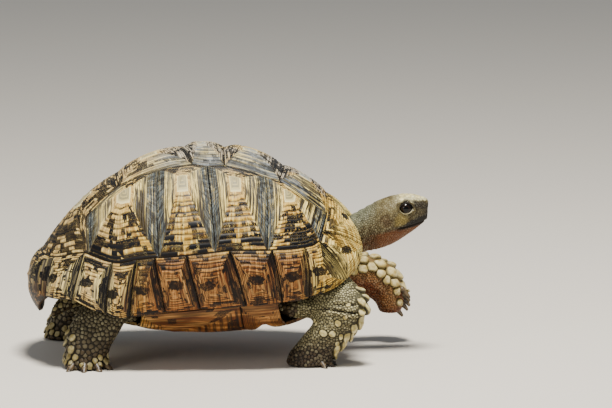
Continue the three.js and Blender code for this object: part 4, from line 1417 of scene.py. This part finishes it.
def pebble(segments, rings):
    """Corners of the template as direction, share of the reach and height, and its faces."""
    bm = bmesh.new()
    bmesh.ops.create_uvsphere(bm, u_segments=segments, v_segments=len(rings) + 1, radius=1)
    bm.verts.index_update()
    profile = [(0.0, 1.0), *rings, (0.0, rings[-1][1])]
    table = []
    for vert in bm.verts:
        ring = round(math.acos(max(-1, min(1, vert.co.z))) / math.pi * (len(rings) + 1))
        slot = round(math.atan2(vert.co.y, vert.co.x) / (2 * math.pi) * segments) % segments
        table.append((slot, *profile[ring]))
    faces = [[v.index for v in f.verts] for f in bm.faces]
    bm.free()
    slots, shares, heights = np.array(table).T
    return slots.astype(int), shares, heights, faces


def tiled_mesh(name, places, faces):
    """A mesh of many copies of the template, each with its own places for the corners."""
    count, corners = places.shape[:2]
    loops = (np.concatenate(faces) + corners * np.arange(count)[:, None]).reshape(-1)
    sizes = np.tile([len(f) for f in faces], count)
    mesh = bpy.data.meshes.new(name)
    mesh.vertices.add(count * corners)
    mesh.vertices.foreach_set("co", places.reshape(-1))
    mesh.loops.add(len(loops))
    mesh.loops.foreach_set("vertex_index", loops.astype(np.int32))
    mesh.polygons.add(len(sizes))
    mesh.polygons.foreach_set("loop_start", (np.cumsum(sizes) - sizes).astype(np.int32))
    mesh.update(calc_edges=True)
    mesh.validate()
    for face in mesh.polygons:
        face.use_smooth = True
    return mesh, loops


def unwrap_limb(places):
    """Each scale's place on the limb, slit open along one side and rolled out flat."""
    away = places - places.mean(axis=0)
    axis = np.linalg.svd(away, full_matrices=False)[2][0]
    side = unit(np.cross(axis, [0.0, 1.0, 0.0]))
    turn = np.arctan2(away @ np.cross(axis, side), away @ side) / (2 * np.pi) + 0.5
    along = away @ axis
    along = (along - along.min()) / (along.max() - along.min())
    return BAKE_MARGIN + (1 - 2 * BAKE_MARGIN) * np.stack([turn, along], axis=1)


def on_skin(places):
    """The nearest places on the skin, and the skin's direction there."""
    hits = [skin_surface.find_nearest(Vector(place))[:2] for place in places.reshape(-1, 3)]
    hits = np.array(hits, float)
    return hits[:, 0].reshape(places.shape), hits[:, 1].reshape(places.shape)


BAKE_PATCH = 0.003
BAKE_MARGIN = 0.004
TIP_WIDTH = 0.55         # how far round, in radians, a drawn-out tip reaches
TIP_DRAW = 0.34
LOWEST = 0.0002
SPECK_PALE = "c6c09a"
SPECK_DARK = "1c1a10"


def scale_coat(name, kind, rows, beside, shape, rng):
    """One mesh with all the scales of one kind on a limb."""
    segments, rings = PEBBLES[kind]
    slot, share, rise, faces = pebble(segments, rings)
    owners = rows[:, LIMB].astype(int)
    ahead, across, outward = frames_of(rows, owners)
    turns = np.arange(segments) * 2 * np.pi / segments
    tip = bell(np.minimum(turns, 2 * np.pi - turns), TIP_WIDTH)
    reach = claims(rows, beside, ahead, across, turns) * (1 + TIP_DRAW * shape["point"][:, None] * tip)
    x = np.cos(turns) * reach + (shape["overlap"] * rows[:, WIDTH])[:, None]
    y = np.sin(turns) * reach
    flat = rows[:, None, PLACE] + x[..., None] * ahead[:, None] + y[..., None] * across[:, None]
    edge, edge_facing = on_skin(flat)
    middle, _ = on_skin(edge.mean(axis=1, keepdims=True))
    lean = np.cos(turns)[slot] * share
    lift = shape["height"][:, None] * rise * (1 + shape["tilt"][:, None] * lean * (rise > 0))
    way = unit(outward[:, None] + 0.6 * edge_facing[:, slot])
    places = middle + (edge[:, slot] - middle) * share[:, None] + way * lift[..., None]
    places[..., 2] = np.maximum(places[..., 2], LOWEST)
    mesh, loops = tiled_mesh(name, places, faces)

    patch = np.stack([lean, np.sin(turns)[slot] * share], axis=1)
    bake = unwrap_limb(rows[:, PLACE])[:, None] + BAKE_PATCH / 2 * patch
    mesh.uv_layers.new(name="OFBake").data.foreach_set("uv", bake.reshape(-1, 2)[loops].reshape(-1))
    values = {"large": rows[:, LARGE], "net": net_strength(owners, rows[:, PLACE]),
              "pale": of_limb("pale", owners)}
    for word, numbers in values.items():
        keep_value(mesh, word, np.repeat(numbers, len(share)))
    keep_value(mesh, "rim", np.tile(share, len(rows)))
    speckle = of_limb("speckle", owners)
    tone = rng.random(len(rows))
    clean = 0.35 + 0.65 * soft_step(rows[:, 2], *GROUND_STAIN)
    tints = flesh_tint(owners, rows[:, PLACE], rows[:, FACING])
    tints = washed(tints, SPECK_PALE, clean * speckle * soft_step(tone, 0.45, 1.0))
    tints = washed(tints, SPECK_DARK, speckle * soft_step(tone, 0.4, 0.0))
    keep_tint(mesh, np.repeat(tints, len(share), axis=0))
    return mesh


# %% How the scales stand
# share of the width that is height, height added to that, tilt, overlap and drawn-out tip
SHAPE_WORDS = ("share", "base", "tilt", "overlap", "point")
PLAIN_SHAPE = (0.13, 0.00012, 0.15, 0.0, 0.0)
FRONT_SHIELD = (0.24, 0.0, 1.35, 0.24, 1.5)
SHAPES = {
    ("head", "grains"): (0.07, 0.00005, 0.0, 0.0, 0.0),
    ("head", "shields"): (0.07, 0.00005, 0.0, 0.0, 0.0),
    ("foreleg_right", "grains"): (0.2, 0.0, 0.15, 0.0, 0.0),
    ("foreleg_right", "shields"): (0.17, 0.0, 0.15, 0.0, 0.0),
    ("foreleg_left", "grains"): (0.12, 0.0, 0.15, 0.0, 0.0),
    ("foreleg_left", "shields"): (0.32, 0.0, 0.5, 0.08, 0.5),
    ("hindleg_right", "grains"): (0.15, 0.0, 0.15, 0.0, 0.0),
    ("hindleg_right", "shields"): (0.3, 0.0, 0.8, 0.0, 0.8),
}
SHAPES |= {("hindleg_left", kind): SHAPES["hindleg_right", kind] for kind in PEBBLES}


def shape_numbers(limb, kind, rows):
    """Height, tilt, overlap and point of every scale of one kind on a limb."""
    table = np.tile(SHAPES.get((limb, kind), PLAIN_SHAPE), (len(rows), 1))
    if (limb, kind) == ("foreleg_right", "shields"):
        table[rows[:, 3] > 0.25] = FRONT_SHIELD
    shape = dict(zip(SHAPE_WORDS, table.T))
    shape["height"] = shape["share"] * rows[:, WIDTH] + shape["base"]
    return shape


# %% [markdown]
# ### The colours of the flesh
# The same places are pale or dark on the skin and on the scales that grow from it, so both take
# their colour from one table of zones: a yellow-olive crown made paler where it faces up by a
# painted highlight, a dark patch before the eye with painted shade above the eye, brown jaws and
# throat, a painted blue-grey sky sheen on top of the neck, grey-olive legs that turn brown at the
# ground. Each limb has a lit and a shaded tone, painted light and shade by the way the skin faces.
# The creases of the elbow get painted shade and their lips a painted highlight, and the nostrils
# painted shade. The zones are named places with soft borders. A scale takes one colour for its
# whole width and the skin the darker tone of the same colour, which shows only as a fine net
# between the scales.

# %% Colour zones
GROUND_STAIN = (0.010, 0.038)      # heights where the stain of the ground is full and where it ends
# pale crown: partly its own colour, partly a painted highlight where the head faces up
CROWN_WITH_HIGHLIGHT = "d8d0a2"
CHEEK = "94813f"
JAW = "6a3c17"
BEAK = "080503"
BROW = "1b140c"
EAR = "4c3620"
# painted blue-grey sky sheen on the top of the neck
NAPE_SKY_SHEEN = "76806c"
DARK_PATCH = "2b2412"
PALE_PATCH = "8d8868"
# painted shade in the elbow's creases, and a painted highlight on their swollen lips
CREASE_SHADE = "100c07"
CREASE_LIP_HIGHLIGHT = "c0b483"
# painted shade in the nostril pits
NOSTRIL_SHADE = "040302"
NET_DARK = "070503"
NET_BARE = "0d0b07"
# middle and reach of the dark places round the eye and on the snout, and how dark they are;
# the one above the eye is painted shade under the brow
BROW_SPOTS = [
    ((0.1630, 0.0100, 0.1335), 0.0058, 0.95),
    ((0.1690, 0.0075, 0.1330), 0.0062, 0.9),
    ((0.1745, 0.0040, 0.1290), 0.0085, 0.85),
    # painted shade under the brow, above the eye
    ((0.1550, 0.0130, 0.1368), 0.0050, 0.8),
    ((0.1655, 0.0090, 0.1272), 0.0068, 0.5),
]


def washed(colours, text, share):
    """Colours with a wash of another over them."""
    share = np.clip(share, 0, 1)[:, None]
    return colours * (1 - share) + rgb(text) * share


def spot(places, middle, reach):
    """One at a place on the head, on both sides, falling softly to nothing at its reach."""
    away = np.linalg.norm(both_sides(places) - middle, axis=1)
    return soft_step(away, reach, 0.35 * reach)


def flesh_tint(owners, places, facing):
    """The colour of the flesh at each place."""
    x, y, z = places.T
    up = facing[:, 2]
    light = soft_step(up, -0.5, 0.45)[:, None]
    colours = of_limb("shaded", owners) * (1 - light) + of_limb("lit", owners) * light
    low = soft_step(z, GROUND_STAIN[1], GROUND_STAIN[0])[:, None]
    colours = colours * (1 - low) + of_limb("ground", owners) * low
    head = soft_step(x, 0.120, 0.134) * (z > 0.09)
    neck = soft_step(x, 0.135, 0.118) * (x > 0.075) * (z > 0.09) * (np.abs(y) < 0.04)
    either = np.maximum(head, neck)
    patch = np.sin(450 * x + 2.1 * np.sin(380 * z)) * np.sin(470 * z + 1.7 * np.sin(400 * x) + 150 * y)
    deep, lip = crease_shares(places)
    above, forward = mouth_offset(places)
    crown = soft_step(x, 0.140, 0.158) * soft_step(up, 0.45, 0.85)
    horn_height = 0.0014 + 0.0046 * soft_step(forward, 0.002, 0.026)
    beak = soft_step(above, horn_height + 0.0012, horn_height) * soft_step(above, -0.0026, -0.0012)
    washes = [
        # painted blue-grey sky sheen where the neck faces up
        (NAPE_SKY_SHEEN, 0.5 * neck * soft_step(up, 0.0, 0.8)),
        (JAW, 0.7 * neck * soft_step(up, -0.05, -0.7)),
        (DARK_PATCH, 0.4 * either * soft_step(patch, 0.05, 0.8)),
        (PALE_PATCH, 0.3 * either * soft_step(patch, -0.1, -0.8)),
        # painted shade in the creases and a painted highlight on the swollen lips below them
        (CREASE_SHADE, 700 * deep),
        (CREASE_LIP_HIGHLIGHT, 560 * lip),
        (JAW, 0.9 * head * soft_step(above, 0.0015, -0.002)),
        # pale crown, partly its own colour and partly a painted highlight where the head faces up
        (CROWN_WITH_HIGHLIGHT, 0.9 * head * crown),
        (CHEEK, 0.45 * head * spot(places, (0.1505, 0.014, 0.1195), 0.009)),
        (EAR, 0.5 * head * spot(places, EARDRUM, 0.0085)),
        # dark patches of the face, and painted shade above the eye
        *((BROW, dark * head * spot(places, middle, reach)) for middle, reach, dark in BROW_SPOTS),
        # painted shade darkening the nostril pits
        (NOSTRIL_SHADE, head * soft_step(from_nostril(places), 0.0013, 0.0007)),
        (BEAK, 0.94 * head * beak * soft_step(forward, -0.001, 0.005)),
    ]
    for colour, share in washes:
        colours = washed(colours, colour, share)
    return colours


def net_strength(owners, places):
    """How dark the skin is between the scales: black on the legs, faint on the face."""
    face = soft_step(places[:, 0], 0.126, 0.142) * (places[:, 2] > 0.09)
    head = of_limb("net", FLESH.index("head"))
    return of_limb("net", owners) * (1 - face) + head * face


def keep_tint(mesh, colours):
    """Stores one colour for each point of a mesh."""
    full = np.column_stack([colours, np.ones(len(colours))]).astype(np.float32)
    layer = mesh.color_attributes.new("tint", "FLOAT_COLOR", "POINT")
    layer.data.foreach_set("color", full.reshape(-1))


def skin_look():
    look = Finish("skin_of_legs_and_head", roughness=0.65, specular=0.25)
    zone = look.object_place
    tint = look.value("tint", "Color")
    dark = look.mix(look.value("net") * 0.92, tint, NET_DARK)
    dark = look.wash(dark, tint, look.noise(zone, 900, 2.0), 0.4, 0.7, 0.0, 0.25)
    # the jaws' bare horn and the lids keep their full colour
    look.colour(look.mix(look.value("bare"), dark, look.mix(0.1, tint, NET_BARE)))
    look.bump(look.noise(zone, 1400, 3.0), 0.0002, 0.5)
    return look


def colour_the_skin():
    places, normals = places_of(skin_mesh), normals_of(skin_mesh)
    owners = limb_at(places)
    keep_tint(skin_mesh, flesh_tint(owners, places, normals))
    keep_value(skin_mesh, "bare", bare(places))
    keep_value(skin_mesh, "net", net_strength(owners, places))
    add_piece("skin", skin_mesh, skin_look(), FLESH)


colour_the_skin()
print("zones of the head:", len(BROW_SPOTS) + 2)

# %% The coats
IVORY_DARK = "a59350"
IVORY = "dccf98"
IVORY_RING = "8a7a4c"
SCALE_EDGE = "090703"
COAT_SEED = 5


def scale_finish():
    look = Finish("scale_horn", roughness=0.5, specular=0.3)
    rim = look.value("rim")
    ivory = look.wash(IVORY_DARK, IVORY, look.noise(look.object_place, 260, 3.0), 0.35, 0.65)
    ivory = look.wash(ivory, IVORY_RING, (rim * 5).fract(), 0.5, 0.9, 0.0, 0.3)
    colour = look.mix(look.value("large") * look.value("pale"), look.value("tint", "Color"), ivory)
    look.colour(look.mix(look.ramp(rim, 0.72, 0.93, 0.0, 0.97) * look.value("net"), colour, SCALE_EDGE))
    return look


scale_look = scale_finish()
site_tree = tree_of(sites)
near_sites = np.array([[j for _, j, _ in site_tree.find_n(row[PLACE], NEIGHBOURS)] for row in sites])
coat_rng = np.random.default_rng(COAT_SEED)
scale_count = 0
for number, limb in enumerate(FLESH):
    for kind in PEBBLES:
        wanted = (owner_of_site == number) & (sites[:, LARGE] == (kind == "shields"))
        if not wanted.any():
            continue
        rows, beside = sites[wanted], sites[near_sites[wanted, 1:]]
        shape = shape_numbers(limb, kind, rows)
        mesh = scale_coat(f"{kind}_{limb}", kind, rows, beside, shape, coat_rng)
        add_piece(f"{kind}_{limb}", mesh, scale_look)
        scale_count += len(mesh.polygons)
        print(kind, limb, len(rows))
print("faces in all scales:", scale_count)

# %% [markdown]
# ### Eyes and claws
# Each eye is one smooth dark ball with a wet gloss, and a margin runs along the lids where they
# meet it, pale below and dark above with painted shade from the brow. A claw is a blunt, slightly
# drooping cone of the same horn as the shell.

# %% Eyes
EYE_RIM = "070504"
IRIS = "1c110a"
PUPIL = "040405"
MARGIN_LOW = "958b68"
# painted shade from the brow on the upper lid margin
MARGIN_BROW_SHADE = "1d160e"
MARGIN_STEPS = 72
MARGIN_SECTIONS = 8
MARGIN_RADIUS = 0.00042
MARGIN_LIFT = 0.0003


def eye_ball(side):
    bm = bmesh.new()
    bmesh.ops.create_uvsphere(bm, u_segments=64, v_segments=32, radius=EYE_RADIUS)
    bmesh.ops.translate(bm, verts=bm.verts, vec=EYE * [1, side, 1])
    return mesh_from("eye", bm)


def eye_finish():
    look = Finish("eye_wet_dark", roughness=0.1, specular=0.24)
    depth = abs(look.parts(look.object_place)[1])
    colour = look.wash(EYE_RIM, IRIS, depth, 0.0145, 0.0163)
    look.colour(look.wash(colour, PUPIL, depth, 0.01612, 0.01625))
    return look


def margin_finish():
    look = Finish("lid_margin_skin", roughness=0.5, specular=0.3)
    height = look.parts(look.object_place)[2]
    # pale below, dark above with painted shade from the brow
    look.colour(look.wash(MARGIN_LOW, MARGIN_BROW_SHADE, height, 0.1285, 0.1312))
    return look


def lid_margin(side):
    """A thin soft tube along the rim of the almond opening."""
    middle, level, upward, facing = eye_frame(side)
    bm = bmesh.new()
    bmesh.ops.create_grid(bm, x_segments=MARGIN_STEPS, y_segments=MARGIN_SECTIONS, size=1)
    for vert in bm.verts:
        turn = (vert.co.x + 1) * math.pi
        curl = (vert.co.y + 1) * math.pi
        way = math.cos(turn) * EYE_OPENING[0] * level + math.sin(turn) * EYE_OPENING[1] * upward
        rim = way + math.sqrt((EYE_RADIUS + MARGIN_LIFT) ** 2 - way @ way) * facing
        tube = math.cos(curl) * unit(rim) + 1.3 * math.sin(curl) * unit(way)
        vert.co = middle + rim + MARGIN_RADIUS * tube
    bmesh.ops.remove_doubles(bm, verts=bm.verts, dist=1e-6)
    bmesh.ops.recalc_face_normals(bm, faces=bm.faces)
    return mesh_from("lid_margin", bm)


eye_look = eye_finish()
margin_look = margin_finish()
for word, side in (("right", -1), ("left", 1)):
    add_piece("eyeball_" + word, eye_ball(side), eye_look, ["eye_" + word])
    add_piece("lid_margin_" + word, lid_margin(side), margin_look)
print("eyes: 2")

# %% Claws
CLAW_SEGMENTS = 12
CLAW_RINGS = 10
# foot: middle of the sole, first and last direction in degrees, number, reach along and across,
# length, radius, droop
GROUND_CLAWS = {
    "foreleg_right": ((0.06983, -0.056), -50, 55, 5, (0.0170, 0.0140), 0.0105, 0.0031, 0.55),
    "hindleg_right": ((-0.12117, -0.070), -128, -22, 4, (0.0170, 0.0155), 0.0110, 0.0037, 0.55),
    "hindleg_left": ((-0.14717, 0.083), -30, 70, 4, (0.0160, 0.0145), 0.0105, 0.0035, 0.55),
}
GROUND_CLAW_HEIGHT = 0.0060
LOWEST_CLAW = 0.0003
# places of the first and last claw, number, first and last direction, length, radius, droop
RAISED_CLAWS = ((0.1545, 0.053, 0.0500), (0.1480, 0.075, 0.0290), 5, (-0.25, 0.35),
                0.0088, 0.0034, 0.66)
CLAW_HORN = ("241a12", "6b5a40")


def claw_into(bm, at, turn, droop, length, radius):
    """Adds a claw that starts a little inside the toe and droops towards a blunt tip."""
    made = bmesh.ops.create_uvsphere(bm, u_segments=CLAW_SEGMENTS, v_segments=CLAW_RINGS, radius=1)
    ahead = np.array([math.cos(turn) * math.cos(droop), math.sin(turn) * math.cos(droop),
                      -math.sin(droop)])
    beside = np.array([-math.sin(turn), math.cos(turn), 0.0])
    above = np.cross(ahead, beside)
    above *= np.sign(above[2])
    for vert in made["verts"]:
        way = (1 - vert.co.z) / 2
        girth = math.hypot(vert.co.x, vert.co.y)
        thick = radius * (0.3 + 0.7 * (1 - way) ** 0.55) * min(1, 3.2 * math.sqrt(max(way, 0)))
        scale = thick / max(girth, 1e-6) * min(girth * 9, 1)
        far = (way * 1.45 - 0.4) * length
        sink = 0.22 * length * way * way
        vert.co = (np.array(at) + ahead * far + beside * vert.co.x * scale
                   + above * (vert.co.y * scale * 0.85 - sink))


def claw_mesh(places):
    bm = bmesh.new()
    for place in places:
        claw_into(bm, *place)
    for vert in bm.verts:
        vert.co.z = max(vert.co.z, LOWEST_CLAW)
    bmesh.ops.recalc_face_normals(bm, faces=bm.faces)
    return mesh_from("claws", bm)


def ground_claws(middle, first, last, number, reach, length, radius, droop):
    for turn in np.radians(np.linspace(first, last, number)):
        at = (middle[0] + reach[0] * math.cos(turn), middle[1] + reach[1] * math.sin(turn),
              GROUND_CLAW_HEIGHT)
        yield at, turn, droop, length, radius


def raised_claws(first, last, number, spread, length, radius, droop):
    for share in np.linspace(0, 1, number):
        at = skin_surface.find_nearest(Vector(first).lerp(Vector(last), share))[0]
        yield at, spread[0] + (spread[1] - spread[0]) * share, droop, length, radius


claw_look = Finish("claw_horn", roughness=0.4)
tip = claw_look.noise(claw_look.object_place, 260, 3.0)
claw_look.colour(claw_look.wash(*CLAW_HORN, tip, 0.35, 0.65))
for foot, numbers in GROUND_CLAWS.items():
    add_piece("claws_" + foot, claw_mesh(ground_claws(*numbers)), claw_look)
add_piece("claws_foreleg_left", claw_mesh(raised_claws(*RAISED_CLAWS)), claw_look)
print("claws:", sum(n[3] for n in GROUND_CLAWS.values()) + RAISED_CLAWS[2])
